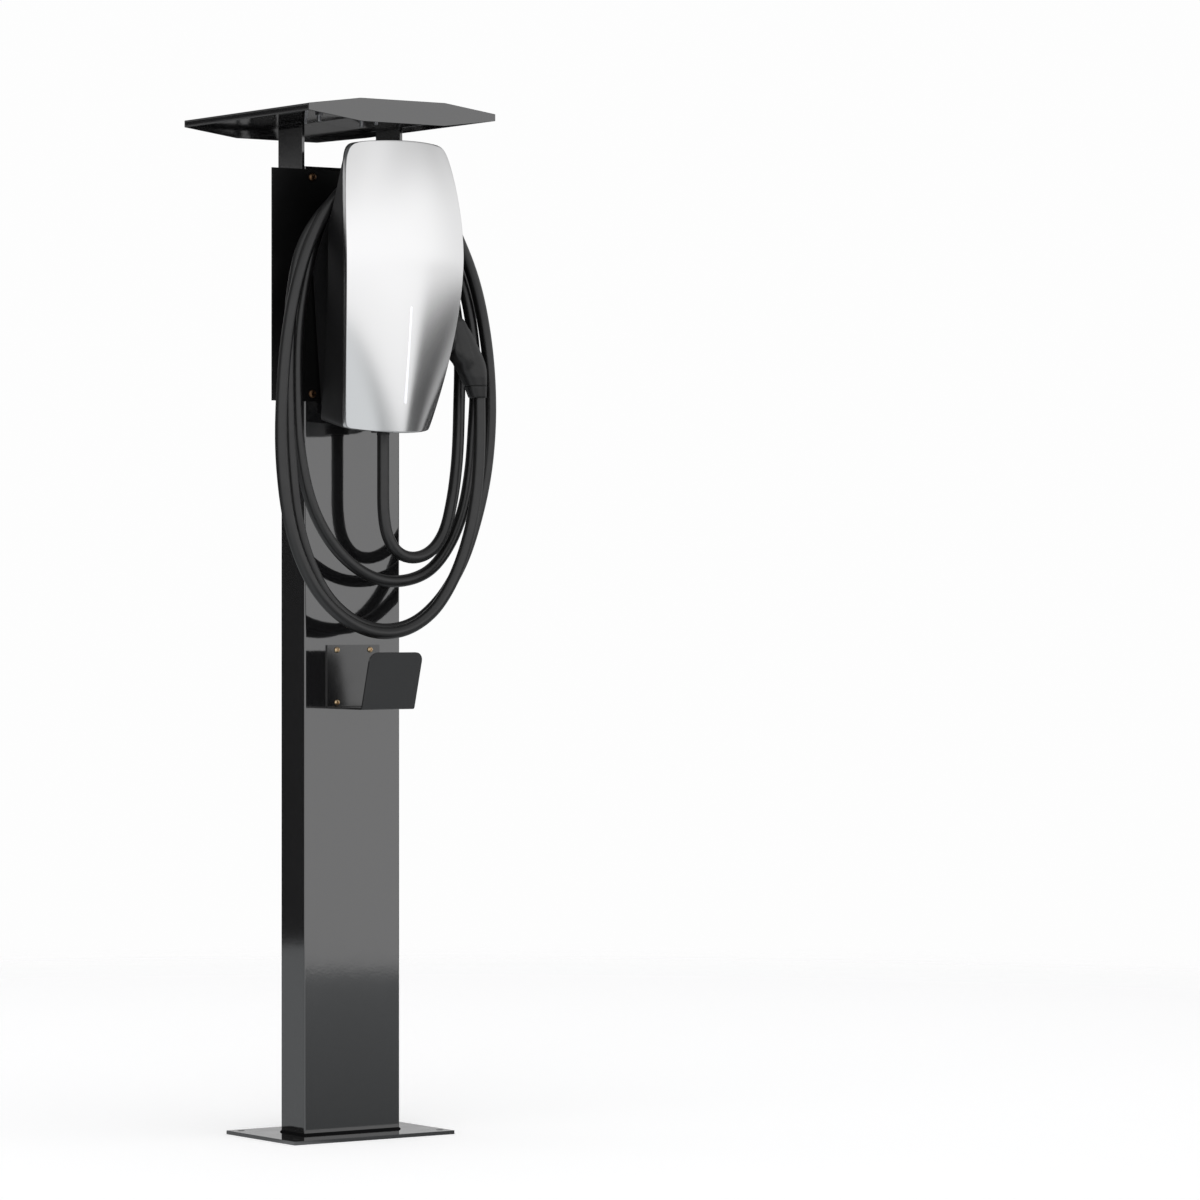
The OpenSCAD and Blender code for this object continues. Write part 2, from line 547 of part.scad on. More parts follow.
module connector_shell_rear() color([0.1, 0.1, 0.105]) difference() {
  union() {
    intersection() {
      handle_shell();
      translate([90, handle_y, 900]) cube([90, 30, 300]);
    }
    for (p = shell_screw_pts) rod_y(p, 3.2, handle_y, handle_y + 14);
  }
  for (p = shell_screw_pts) {
    rod_y(p, 1.6, handle_y - 1, handle_y + 20);
    rod_y(p, 3, handle_y + 13, handle_y + 20);
  }
}

module shell_screws() color([0.6, 0.6, 0.6])
  for (p = shell_screw_pts) translate([p.x, handle_y + 13, p[1]]) rotate([-90, 0, 0]) pan_screw(2.7, 1.8, 1.35, 23);

module connector_collar() color([0.08, 0.08, 0.085]) translate([0, handle_y, 0]) {
  hull() {
    translate([147, 0, 984]) linear_extrude(1) rrect(23, 23, 10);
    translate([143.5, 0, 999]) linear_extrude(1) rrect(30, 27, 12);
  }
  translate([collar_x, 0, 1000]) cylinder(r = 9, h = 3);
}

pin_pts = [[-8, 6, 3.2], [8, 6, 3.2], [0, -9.5, 2.5], [-11, -5.5, 1.5], [11, -5.5, 1.5]];
module connector_nose() color([0.12, 0.12, 0.125]) difference() {
  union() {
    rod_x(dock_y, dock_z, dock_r - 2.8, 72, 99.8);
    rod_x(dock_y, dock_z, 11, 99.8, 122);
    // seat of the button's spring
    button_frame() translate([0, 0, -18]) cylinder(r = 3.6, h = 5);
  }
  for (p = pin_pts) rod_x(dock_y + p.x, dock_z + p.y, p.z + 0.6, 71, 88);
}

module contact_pins() color([0.8, 0.78, 0.72])
  for (p = pin_pts) rod_x(dock_y + p.x, dock_z + p.y, p.z, 74, 88);

button_travel = 1.5;
module release_button() color([0.14, 0.14, 0.145]) button_frame() {
  translate([-11, -6.5, -3.4]) cube([22, 13, 4.4]);
  translate([0, 0, 1]) linear_extrude(0.5) rrect(18, 10, 1);
}

module button_spring() color([0.7, 0.7, 0.7]) button_frame() difference() {
  translate([0, 0, -13]) cylinder(r = 3, h = 9.6);
  translate([0, 0, -14]) cylinder(r = 2.2, h = 12);
}

base_plate();
column();
column_cap();
rivet_nuts();
mount_plate();
mount_plate_screws();
roof_sheet();
roof_front_panel();
roof_rear_panel();
roof_bracket();
roof_bracket_screws();
roof_studs();
roof_washers();
roof_nuts();
holster_bracket();
holster_screws();
cable_grommet();
wall_bracket();
wall_bracket_screws();
rear_housing();
housing_screws();
front_cover();
cover_seal();
light_bar();
led_board();
main_board();
board_spacers();
board_screws();
relay();
current_sensor();
terminal_block();
controller_module();
cable_gland();
gland_nut();
cable_boot();
connector_dock();
charging_cable();
connector_collar();
connector_shell_front();
connector_shell_rear();
shell_screws();
connector_nose();
contact_pins();
release_button();
button_spring();
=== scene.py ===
import json
import math

import bmesh
import bpy
import numpy as np
from mathutils import Matrix, Vector


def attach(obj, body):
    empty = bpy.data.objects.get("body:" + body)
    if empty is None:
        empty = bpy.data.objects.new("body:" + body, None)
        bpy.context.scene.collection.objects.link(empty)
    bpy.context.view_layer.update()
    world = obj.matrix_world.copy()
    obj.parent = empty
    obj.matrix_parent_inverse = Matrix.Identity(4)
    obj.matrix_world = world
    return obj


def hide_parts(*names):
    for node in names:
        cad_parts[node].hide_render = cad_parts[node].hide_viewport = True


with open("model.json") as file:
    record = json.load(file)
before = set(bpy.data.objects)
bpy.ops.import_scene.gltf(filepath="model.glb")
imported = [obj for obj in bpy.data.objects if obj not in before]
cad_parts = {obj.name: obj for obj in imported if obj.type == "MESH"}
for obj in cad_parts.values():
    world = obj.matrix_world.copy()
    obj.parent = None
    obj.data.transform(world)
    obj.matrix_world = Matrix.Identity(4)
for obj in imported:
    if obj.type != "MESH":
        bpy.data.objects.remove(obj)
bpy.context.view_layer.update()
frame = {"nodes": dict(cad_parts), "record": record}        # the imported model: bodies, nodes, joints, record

scene = bpy.context.scene
NODES = frame["nodes"]
MM = 0.001

# ------------------------------------------------------------------ camera
cam_data = bpy.data.cameras.new("camera")
cam_data.sensor_width = 36.0
cam_data.lens = 155.71
cam_data.shift_y = -0.01078
cam_data.clip_end = 60.0
camera = bpy.data.objects.new("camera", cam_data)
camera.location = (-3.69777, -5.88437, 0.7315)
camera.rotation_euler = (math.pi / 2, 0.0, -0.611)
scene.collection.objects.link(camera)
scene.camera = camera

# ------------------------------------------------------------------ cable
# the route of the cable, in millimetres, as in the CAD model
ROUTE = [
    (12, -87, 933), (12, -87, 880), (13, -87, 826), (20, -87, 796), (38, -87, 775), (63, -87, 770),
    (88, -86, 779), (111, -82, 803), (127, -77, 844), (141, -69, 900), (149, -62, 975), (152.5, -57, 1057),
    (138.5, -56.5, 1138), (112.5, -58.5, 1188), (76, -61, 1230), (38, -64, 1254), (0, -67, 1262), (-36, -70, 1254),
    (-66, -73, 1231), (-87, -76, 1191), (-103, -78, 1138), (-115, -79, 1075), (-118, -79, 995), (-113, -79, 912),
    (-96, -79, 844), (-68, -78, 796), (-32, -77, 762), (10, -76, 742), (54, -74, 740), (94, -72, 753),
    (126, -69, 784), (151, -66, 830), (164, -66, 886), (169, -67, 946), (171.5, -68, 1006), (167.5, -68, 1066),
    (154.5, -69, 1126),
    (129, -72, 1181), (96, -77, 1230), (50, -82, 1259), (3, -85, 1267), (-42, -88, 1256), (-84, -92, 1225),
    (-118, -95, 1179), (-134, -97, 1124), (-140, -97, 1055), (-141, -97, 970), (-137, -97, 888), (-127, -97, 818),
    (-108, -96, 764), (-78, -95, 717), (-36, -94, 686), (12, -92, 675), (58, -90, 684), (99, -88, 713),
    (135, -86, 760), (161, -83, 818), (179, -81, 882), (187, -80, 948), (186, -80, 1014), (177, -81, 1078),
    (159, -86, 1136),
    (134, -91, 1186), (99, -96, 1236), (52, -99, 1268), (4, -102, 1279), (-42, -104, 1268), (-82, -108, 1235),
    (-117, -113, 1184), (-140, -115, 1125), (-154, -115, 1060), (-162, -115, 980), (-162, -114, 900), (-151, -114, 820),
    (-133, -114, 768), (-105, -114, 723), (-66, -114, 690), (-20, -114, 672), (28, -113, 674), (72, -112, 697),
    (107, -111, 741), (131, -111, 797), (145, -110, 857), (150, -110, 920), (150, -110, 984)]
CABLE_D = 16.0


def smooth_path(points, step):
    """A centripetal Catmull-Rom curve through the points, sampled about every step."""
    P = np.array(points, float)
    P = np.vstack([2 * P[0] - P[1], P, 2 * P[-1] - P[-2]])
    out = []
    for i in range(1, len(P) - 2):
        p0, p1, p2, p3 = P[i - 1], P[i], P[i + 1], P[i + 2]
        t0 = 0.0
        t1 = t0 + np.linalg.norm(p1 - p0) ** 0.5
        t2 = t1 + np.linalg.norm(p2 - p1) ** 0.5
        t3 = t2 + np.linalg.norm(p3 - p2) ** 0.5
        n = max(2, int(round(np.linalg.norm(p2 - p1) / step)))
        for t in np.linspace(t1, t2, n, endpoint=False):
            a1 = (t1 - t) / (t1 - t0) * p0 + (t - t0) / (t1 - t0) * p1
            a2 = (t2 - t) / (t2 - t1) * p1 + (t - t1) / (t2 - t1) * p2
            a3 = (t3 - t) / (t3 - t2) * p2 + (t - t2) / (t3 - t2) * p3
            b1 = (t2 - t) / (t2 - t0) * a1 + (t - t0) / (t2 - t0) * a2
            b2 = (t3 - t) / (t3 - t1) * a2 + (t - t1) / (t3 - t1) * a3
            out.append((t2 - t) / (t2 - t1) * b1 + (t - t1) / (t2 - t1) * b2)
    out.append(P[-2])
    return np.array(out)


path = smooth_path(ROUTE, 5.0)
for _ in range(6):                       # takes out the last small changes of curvature
    path[1:-1] = 0.25 * path[:-2] + 0.5 * path[1:-1] + 0.25 * path[2:]

curve = bpy.data.curves.new("cable_curve", "CURVE")
curve.dimensions = "3D"
curve.bevel_depth = CABLE_D / 2 * MM
curve.bevel_resolution = 10
curve.use_fill_caps = True
spline = curve.splines.new("POLY")
spline.points.add(len(path) - 1)
for point, p in zip(spline.points, path):
    point.co = (p[0] * MM, p[1] * MM, p[2] * MM, 1.0)
spline.use_smooth = True
sweep = bpy.data.objects.new("cable_sweep", curve)
scene.collection.objects.link(sweep)
bpy.context.view_layer.update()
cable_mesh = bpy.data.meshes.new_from_object(sweep.evaluated_get(bpy.context.evaluated_depsgraph_get()))
cable_mesh.name = "cable"
bpy.data.objects.remove(sweep)
bpy.data.curves.remove(curve)
cable_mesh.materials.clear()
for polygon in cable_mesh.polygons:
    polygon.material_index = 0
cable = bpy.data.objects.new("cable", cable_mesh)
scene.collection.objects.link(cable)
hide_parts("charging_cable")
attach(cable, "pedestal")


# ------------------------------------------------------------------ materials
def math_node(nt, op, a, b=None, clamp=False):
    n = nt.nodes.new("ShaderNodeMath")
    n.operation = op
    n.use_clamp = clamp
    for k, v in enumerate((a, b)):
        if v is None:
            continue
        if isinstance(v, (int, float)):
            n.inputs[k].default_value = v
        else:
            nt.links.new(v, n.inputs[k])
    return n.outputs[0]


def noise_node(nt, coord, scale, detail=2.0, rough=0.5, stretch=None):
    if stretch:
        m = nt.nodes.new("ShaderNodeMapping")
        m.inputs["Scale"].default_value = stretch
        nt.links.new(coord, m.inputs["Vector"])
        coord = m.outputs[0]
    n = nt.nodes.new("ShaderNodeTexNoise")
    n.inputs["Scale"].default_value = scale
    n.inputs["Detail"].default_value = detail
    n.inputs["Roughness"].default_value = rough
    nt.links.new(coord, n.inputs["Vector"])
    return n.outputs["Fac"]


def material(name, base, rough, metallic=0.0, ior=1.5, coat=0.0, coat_rough=0.05, tint=None, tint_scale=6.0,
             rough_amp=0.03, rough_scale=14.0, bumps=(), emission=0.0, spec=0.5, sheen=0.0, stretch=None):
    """A procedural finish. tint is a second colour that the base drifts to; bumps is a list of
    (scale, height in metres, detail) layers, added together."""
    m = bpy.data.materials.new(name)
    m.use_nodes = True
    nt = m.node_tree
    nt.nodes.clear()
    out = nt.nodes.new("ShaderNodeOutputMaterial")
    bsdf = nt.nodes.new("ShaderNodeBsdfPrincipled")
    nt.links.new(bsdf.outputs[0], out.inputs["Surface"])
    coord = nt.nodes.new("ShaderNodeTexCoord").outputs["Object"]
    # colour
    fac = noise_node(nt, coord, tint_scale, 4.0, 0.6, stretch)
    ramp = nt.nodes.new("ShaderNodeValToRGB")
    ramp.color_ramp.elements[0].position = 0.3
    ramp.color_ramp.elements[1].position = 0.7
    ramp.color_ramp.elements[0].color = (*base, 1)
    ramp.color_ramp.elements[1].color = (*(tint or [c * 1.12 for c in base]), 1)
    nt.links.new(fac, ramp.inputs[0])
    nt.links.new(ramp.outputs[0], bsdf.inputs["Base Color"])
    # roughness
    rn = noise_node(nt, coord, rough_scale, 3.0, 0.55, stretch)
    r = nt.nodes.new("ShaderNodeMapRange")
    r.inputs["From Min"].default_value = 0.25
    r.inputs["From Max"].default_value = 0.75
    r.inputs["To Min"].default_value = max(0.0, rough - rough_amp)
    r.inputs["To Max"].default_value = rough + rough_amp
    nt.links.new(rn, r.inputs["Value"])
    nt.links.new(r.outputs[0], bsdf.inputs["Roughness"])
    bsdf.inputs["Metallic"].default_value = metallic
    bsdf.inputs["IOR"].default_value = ior
    bsdf.inputs["Specular IOR Level"].default_value = spec
    bsdf.inputs["Coat Weight"].default_value = coat
    bsdf.inputs["Coat Roughness"].default_value = coat_rough
    bsdf.inputs["Sheen Weight"].default_value = sheen
    if emission:
        bsdf.inputs["Emission Color"].default_value = (1.0, 1.0, 1.0, 1)
        bsdf.inputs["Emission Strength"].default_value = emission
    # relief
    last = None
    for scale, height, detail in bumps:
        b = nt.nodes.new("ShaderNodeBump")
        b.inputs["Strength"].default_value = 1.0
        b.inputs["Distance"].default_value = height
        nt.links.new(noise_node(nt, coord, scale, detail, 0.5, stretch), b.inputs["Height"])
        if last is not None:
            nt.links.new(last, b.inputs["Normal"])
        last = b.outputs[0]
    if last is not None:
        nt.links.new(last, bsdf.inputs["Normal"])
        if coat:
            nt.links.new(last, bsdf.inputs["Coat Normal"])
    return m


M = {
    "powder_coat": material("powder_coat", (0.007, 0.007, 0.0074), 0.07, ior=2.2, tint=(0.009, 0.009, 0.0096),
                            tint_scale=9, rough_amp=0.015, rough_scale=30,
                            bumps=[(230, 0.00001, 1.5), (60, 0.00001, 1.0)]),
    "column_coat": material("column_coat", (0.007, 0.007, 0.0074), 0.055, ior=2.2, tint=(0.009, 0.009, 0.0096),
                            tint_scale=9, rough_amp=0.01, rough_scale=30,
                            bumps=[(300, 0.000009, 1.0), (60, 0.00001, 1.0)]),
    # painted shade: a darker, duller copy of the powder coat, for the mount plate in the shade behind the unit
    "plate_coat_painted_shade": material("plate_coat_painted_shade", (0.0022, 0.0022, 0.0023), 0.32, ior=1.38, tint=(0.003, 0.003, 0.0031), tint_scale=9,
                           rough_amp=0.03, rough_scale=30, bumps=[(60, 0.00001, 1.0)]),
    "holster_coat": material("holster_coat", (0.008, 0.008, 0.0084), 0.19, ior=1.9, tint=(0.010, 0.010, 0.0104), tint_scale=12,
                             rough_amp=0.03, rough_scale=40, bumps=[(900, 0.00001, 1.5), (60, 0.00002, 1.0)]),
    "brass_screw": material("gilt_steel", (0.86, 0.66, 0.42), 0.3, metallic=1.0, tint=(0.72, 0.52, 0.3), tint_scale=260,
                            rough_amp=0.1, rough_scale=900, bumps=[(1400, 0.00001, 2)]),
    # painted shade: a darker copy of the gilt screw finish, for the mount plate's screws, which sit in shade
    "gilt_painted_shade": material("gilt_steel_shaded", (0.17, 0.1, 0.055), 0.36, metallic=1.0, tint=(0.12, 0.065, 0.035), tint_scale=260,
                          rough_amp=0.1, rough_scale=900, bumps=[(1400, 0.00001, 2)]),
    "zinc_steel": material("zinc_plated_steel", (0.6, 0.61, 0.63), 0.32, metallic=1.0, tint=(0.5, 0.51, 0.54), tint_scale=180,
                           rough_amp=0.08, rough_scale=500, bumps=[(1200, 0.00001, 2)]),
    "black_nylon": material("black_nylon", (0.018, 0.018, 0.019), 0.5, tint=(0.024, 0.024, 0.025), tint_scale=80,
                            rough_amp=0.06, rough_scale=240, bumps=[(2200, 0.00001, 2)]),
    "housing_black": material("housing_black", (0.0065, 0.0065, 0.007), 0.34, tint=(0.0085, 0.0085, 0.009), tint_scale=14,
                              rough_amp=0.03, rough_scale=60, bumps=[(1900, 0.000006, 2)]),
    "cover_silver": material("cover_silver", (0.875, 0.874, 0.872), 0.22, metallic=1.0, tint=(0.89, 0.89, 0.893), tint_scale=5,
                             coat=0.25, coat_rough=0.1, rough_amp=0.006, rough_scale=30, bumps=[(2600, 0.0000004, 1)]),
    "light_lens": material("light_lens", (0.95, 0.96, 0.98), 0.25, tint=(0.92, 0.93, 0.96), tint_scale=40,
                           rough_amp=0.02, emission=0.12, bumps=[(400, 0.000003, 1)]),
    "black_rubber": material("black_rubber", (0.014, 0.014, 0.014), 0.62, tint=(0.02, 0.02, 0.02), tint_scale=90,
                             rough_amp=0.06, rough_scale=300, bumps=[(1500, 0.000012, 2)]),
    "cable_jacket": material("cable_jacket", (0.0045, 0.0045, 0.0047), 0.34, ior=1.6, tint=(0.006, 0.006, 0.0062), tint_scale=22,
                             rough_amp=0.04, rough_scale=90, bumps=[(1300, 0.000008, 2), (120, 0.00002, 1)]),
    "connector_black": material("connector_black", (0.0036, 0.0036, 0.0038), 0.4, ior=1.54, tint=(0.005, 0.005, 0.0052), tint_scale=30,
                                rough_amp=0.03, rough_scale=160, bumps=[(2400, 0.00001, 2)]),
    "button_black": material("button_black", (0.04, 0.04, 0.041), 0.55, tint=(0.046, 0.046, 0.047), tint_scale=60,
                             rough_amp=0.04, rough_scale=200, bumps=[(2200, 0.00001, 2)]),
    "circuit_board": material("circuit_board", (0.01, 0.09, 0.035), 0.35, tint=(0.02, 0.14, 0.05), tint_scale=150,
                              rough_amp=0.08, rough_scale=300, bumps=[(700, 0.00001, 2)]),
    "terminal_green": material("terminal_green", (0.03, 0.26, 0.07), 0.42, tint=(0.04, 0.3, 0.09), tint_scale=60,
                               rough_amp=0.05, bumps=[(1800, 0.000008, 2)]),
    "sensor_blue": material("sensor_blue", (0.02, 0.05, 0.2), 0.4, tint=(0.03, 0.06, 0.24), tint_scale=60,
                            rough_amp=0.05, bumps=[(1800, 0.000008, 2)]),
    "brass_spacer": material("brass_spacer", (0.72, 0.55, 0.26), 0.3, metallic=1.0, tint=(0.64, 0.47, 0.2), tint_scale=200,
                             rough_amp=0.08, rough_scale=500, bumps=[(1500, 0.000006, 2)]),
    "contact_metal": material("contact_metal", (0.8, 0.77, 0.7), 0.22, metallic=1.0, tint=(0.72, 0.68, 0.6), tint_scale=200,
                              rough_amp=0.05, rough_scale=500, bumps=[(1500, 0.000004, 2)]),
}
# painted shade at the column's foot: below 7.6 mm the coat has no gloss, so the weld and the bottom of the faces show a
# dark band that stands in for the shade and dark reflection there
nt = M["column_coat"].node_tree
height = nt.nodes.new("ShaderNodeSeparateXYZ")
nt.links.new(nt.nodes.new("ShaderNodeTexCoord").outputs["Object"], height.inputs[0])
gloss = math_node(nt, "MULTIPLY", math_node(nt, "GREATER_THAN", height.outputs[2], 0.0076), 0.5)
nt.links.new(gloss, next(n for n in nt.nodes if n.type == "BSDF_PRINCIPLED").inputs["Specular IOR Level"])
slot_of = {s["node"]: s["material_slot"] for s in frame["record"]["subparts"]}
for name, o in NODES.items():
    for s in o.material_slots:
        s.material = M[slot_of[name]]


# ------------------------------------------------------------------ mesh helpers
def finish_piece(ob, slot, node=None, body="pedestal"):
    ob.data.materials.clear()
    ob.data.materials.append(M[slot])
    if node:
        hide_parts(*([node] if isinstance(node, str) else node))
    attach(ob, body)
    return ob


def smooth_by_angle(me, degrees):
    me.shade_smooth()
    me.set_sharp_from_angle(angle=math.radians(degrees))


def mesh_piece(name, V, F, degrees=35):
    me = bpy.data.meshes.new(name)
    me.from_pydata((np.asarray(V, float) * MM).tolist(), [], [list(map(int, f)) for f in F])
    me.validate()
    me.update()
    smooth_by_angle(me, degrees)
    ob = bpy.data.objects.new(name, me)
    scene.collection.objects.link(ob)
    return ob


def bevel(ob, width, segments=2, degrees=40, weights=False):
    b = ob.modifiers.new("edges", "BEVEL")
    b.width = width * MM
    b.segments = segments
    b.limit_method = "WEIGHT" if weights else "ANGLE"
    b.angle_limit = math.radians(degrees)
    b.use_clamp_overlap = True
    w = ob.modifiers.new("normals", "WEIGHTED_NORMAL")
    w.keep_sharp = False
    w.weight = 90
    w.mode = "FACE_AREA"
    return ob


def bake_modifiers(ob):
    """Puts the result of the modifiers into the mesh, and takes them off."""
    bpy.context.view_layer.update()
    dg = bpy.context.evaluated_depsgraph_get()
    me = bpy.data.meshes.new_from_object(ob.evaluated_get(dg), preserve_all_data_layers=True, depsgraph=dg)
    ob.modifiers.clear()
    ob.data = me
    return ob


def cut(ob, cutter, solver="EXACT"):
    m = ob.modifiers.new("cut", "BOOLEAN")
    m.operation = "DIFFERENCE"
    m.solver = solver
    m.object = cutter
    bake_modifiers(ob)
    bpy.data.objects.remove(cutter)
    return ob


def loft(rings, cap0=True, cap1=True, close=False):
    """Rings of equal length to (vertices, faces)."""
    rings = [np.asarray(r, float) for r in rings]
    n, m = len(rings[0]), len(rings)
    V = np.vstack(rings)
    F = []
    for j in range(m if close else m - 1):
        a, b = j * n, ((j + 1) % m) * n
        for i in range(n):
            k = (i + 1) % n
            F.append((a + i, a + k, b + k, b + i))
    if not close:
        if cap0:
            F.append(tuple(range(n - 1, -1, -1)))
        if cap1:
            F.append(tuple((m - 1) * n + i for i in range(n)))
    return V, F


def lathe(profile, n=64):
    """profile is a list of (r, z), from the bottom up; closed on the axis where r is 0."""
    rings = []
    for r, z in profile:
        a = np.linspace(0, 2 * math.pi, n, endpoint=False)
        rings.append(np.stack([max(r, 1e-4) * np.cos(a), max(r, 1e-4) * np.sin(a), np.full(n, z)], 1))
    return loft(rings)


def place(V, origin, z_axis, x_axis=None):
    """Moves points from a local frame, whose Z is z_axis, to origin."""
    z = np.array(z_axis, float)
    z /= np.linalg.norm(z)
    x = np.array(x_axis if x_axis is not None else ((0, 0, 1) if abs(z[2]) < 0.9 else (1, 0, 0)), float)
    x = x - z * x.dot(z)
    x /= np.linalg.norm(x)
    y = np.cross(z, x)
    return np.asarray(V) @ np.stack([x, y, z]) + np.array(origin, float)


def join(parts):
    """[(V, F), ...] to one (V, F)."""
    V, F, k = [], [], 0
    for v, f in parts:
        V.append(np.asarray(v, float))
        F += [tuple(i + k for i in face) for face in f]
        k += len(v)
    return np.vstack(V), F


def refined(node, width, segments=2, degrees=40, extra=None):
    """A copy of a CAD node with its edges broken, in the same place."""
    bm = bmesh.new()
    bm.from_mesh(NODES[node].data)
    bmesh.ops.remove_doubles(bm, verts=bm.verts, dist=3e-6)
    bmesh.ops.dissolve_limit(bm, angle_limit=0.004, verts=bm.verts, edges=bm.edges)
    if extra:
        points = [bm.verts.new(Vector(v) * MM) for v in extra[0]]
        bmesh.ops.recalc_face_normals(bm, faces=[bm.faces.new([points[i] for i in f]) for f in extra[1]])
    me = bpy.data.meshes.new(node + "_form")
    bm.to_mesh(me)
    bm.free()
    for a in ("custom_normal", "sharp_edge", "sharp_face"):
        if a in me.attributes:
            me.attributes.remove(me.attributes[a])
    me.shade_smooth()
    ob = bpy.data.objects.new(node + "_form", me)
    scene.collection.objects.link(ob)
    bevel(ob, width, segments, degrees)
    bake_modifiers(ob)
    return finish_piece(ob, slot_of[node], node)


# ------------------------------------------------------------------ stand
def foot_ring(out, z, n=5):
    """The column's outline, out by so much."""
    return [(cx + (2.5 + out) * math.cos(a), cy + (2.5 + out) * math.sin(a), z)
            for cx, cy, a0 in ((72.5, 27.5, 0), (-72.5, 27.5, 90), (-72.5, -27.5, 180), (72.5, -27.5, 270))
            for a in (math.radians(a0 + 90 * k / n) for k in range(n + 1))]


refined("column", 0.5, extra=loft([foot_ring(o, z) for o, z in ((-0.4, 4.95), (2.2, 4.95), (2.1, 5.5), (1.5, 6.4), (0.6, 7.1), (-0.4, 7.4))], close=True))
bpy.data.objects["column_form"].data.materials[0] = M["column_coat"]
for node, width in (("base_plate", 0.5), ("mount_plate", 0.4), ("roof_sheet", 0.35),
                    ("roof_front_panel", 0.45), ("roof_rear_panel", 0.45), ("roof_bracket", 0.5), ("holster_bracket", 0.4),
                    ("connector_dock", 0.7), ("cable_gland", 0.5), ("gland_nut", 0.5)):
    refined(node, width)
holster = bpy.data.objects["holster_bracket_form"]
holster.data.materials[0] = M["holster_coat"]
# the mount plate takes the painted-shade copy of the powder coat
bpy.data.objects["mount_plate_form"].data.materials[0] = M["plate_coat_painted_shade"]


def pan_heads(name, node, places, r, h, shank_r, shank, axis=(0, -1, 0), slot="brass_screw"):
    """Pan head screws with a cross recess. places are the seats of the heads."""
    prof = [(0, -shank), (shank_r, -shank), (shank_r, 0), (r, 0), (r, h * 0.18)]
    for k in range(1, 9):
        a = k / 8 * math.pi / 2
        prof.append((r * (0.35 + 0.65 * math.cos(a)), h * (0.18 + 0.82 * math.sin(a))))
    prof += [(r * 0.18, h * 1.0), (0, h * 1.0)]
    head = lathe(prof, 48)
    w = r * 0.13
    blade = []
    for a in (0.35, 0.35 + math.pi / 2):
        c, s = math.cos(a), math.sin(a)
        top, low = r * 0.62, r * 0.3
        V = [(x * t, y * w * q, z) for z, t, q in ((h * 0.35, low, 0.7), (h * 1.3, top * 1.15, 1.15)) for x, y in ((-1, -1), (1, -1), (1, 1), (-1, 1))]
        V = np.array(V)
        V = np.stack([V[:, 0] * c - V[:, 1] * s, V[:, 0] * s + V[:, 1] * c, V[:, 2]], 1)
        blade.append((V, [(3, 2, 1, 0), (4, 5, 6, 7), (0, 1, 5, 4), (1, 2, 6, 5), (2, 3, 7, 6), (3, 0, 4, 7)]))
    one = mesh_piece(name + "_one", *head)
    for k, b in enumerate(blade):
        cut(one, mesh_piece(f"{name}_blade{k}", *b))
    me = one.data
    v = np.zeros(len(me.vertices) * 3)
    me.vertices.foreach_get("co", v)
    v = v.reshape(-1, 3) / MM
    f = [tuple(p.vertices) for p in me.polygons]
    bpy.data.objects.remove(one)
    parts = []
    for k, p in enumerate(places):
        a = 0.7 * k
        q = np.stack([v[:, 0] * math.cos(a) - v[:, 1] * math.sin(a), v[:, 0] * math.sin(a) + v[:, 1] * math.cos(a), v[:, 2]], 1)
        parts.append((place(q, p, axis), f))
    return finish_piece(mesh_piece(name, *join(parts), 30), slot, node)


# the mount plate's screws take the painted-shade copy of the gilt finish
pan_heads("mount_plate_screw_set", "mount_plate_screws", [(x, -33, z) for x in (-65, 65) for z in (987.5, 1274.8)], 5.6, 3.9, 2.9, 14).data.materials[0] = M["gilt_painted_shade"]
pan_heads("holster_screw_set", "holster_screws", [(x, -32.5, z) for x in (-26, 26) for z in (578, 648)], 3.9, 2.8, 1.9, 12)

# ------------------------------------------------------------------ charging unit
SHELL_T, RIM_D, SEAL_T, MID_Z, HB, LIP_CZ = 3.0, 8.0, 1.0, 1125.0, -36.0, 1192.0
TOP_H, LOW_H, SQ, LOW_SQ = 192.5, 191.0, 14.0, 44


def half_w(z):
    z = np.asarray(z, float)
    return np.where(z < 1170, 91.4 - 25.9 * (np.maximum(0, 1170 - z) / 229) ** 1.75, 91.4 - 8.7 * (np.maximum(0, z - 1170) / 115) ** 2.1)


def rim_y(z):
    z = np.asarray(z, float)
    return np.where(z < 1165, 161.1 - 43.5 * (np.maximum(0, 1165 - z) / 220) ** 1.7, 161.1 - 22.5 * (np.maximum(0, z - 1165) / 145) ** 1.65)


def bulge(z):
    z = np.asarray(z, float)
    return 17 + 21 * (np.maximum(0, 1150 - z) / 216) ** 1.6 + 5.5 * (np.maximum(0, z - 1160) / 150) ** 1.6


def front_y(x, z):
    return -rim_y(z) - bulge(z) * (1 - np.minimum(1, np.abs(x) / half_w(z)) ** 2.2)


def edge_uv(n):
    """The unit's outline as a unit ring, anticlockwise seen from the front: four sides of n steps."""
    k = 2 ** (-1 / SQ)
    t = np.linspace(-1, 1, n, endpoint=False)
    u = k * np.sin(t * math.pi / 2)
    w = (1 - np.abs(u) ** SQ) ** (1 / SQ)
    return np.vstack([np.stack([w, u], 1), np.stack([-u, w], 1), np.stack([-w, -u], 1), np.stack([u, -w], 1)])


def tight(p):
    """The lower corners are tighter than the upper ones."""
    k = (np.abs(p[:, 0]) ** LOW_SQ + np.abs(p[:, 1]) ** LOW_SQ) ** (1 / LOW_SQ)
    return np.where((p[:, 1] > 0)[:, None], p, p / k[:, None])


def ring_z(p):
    x, y = p[:, 0], p[:, 1]
    return MID_Z + np.where(y > 0, TOP_H * y - 4.5 * x * x * y ** 6, LOW_H * y + 6 * x * x * y ** 6)


def outline(p):
    p = tight(p)
    z = ring_z(p)
    return np.stack([p[:, 0] * half_w(z), z], 1)


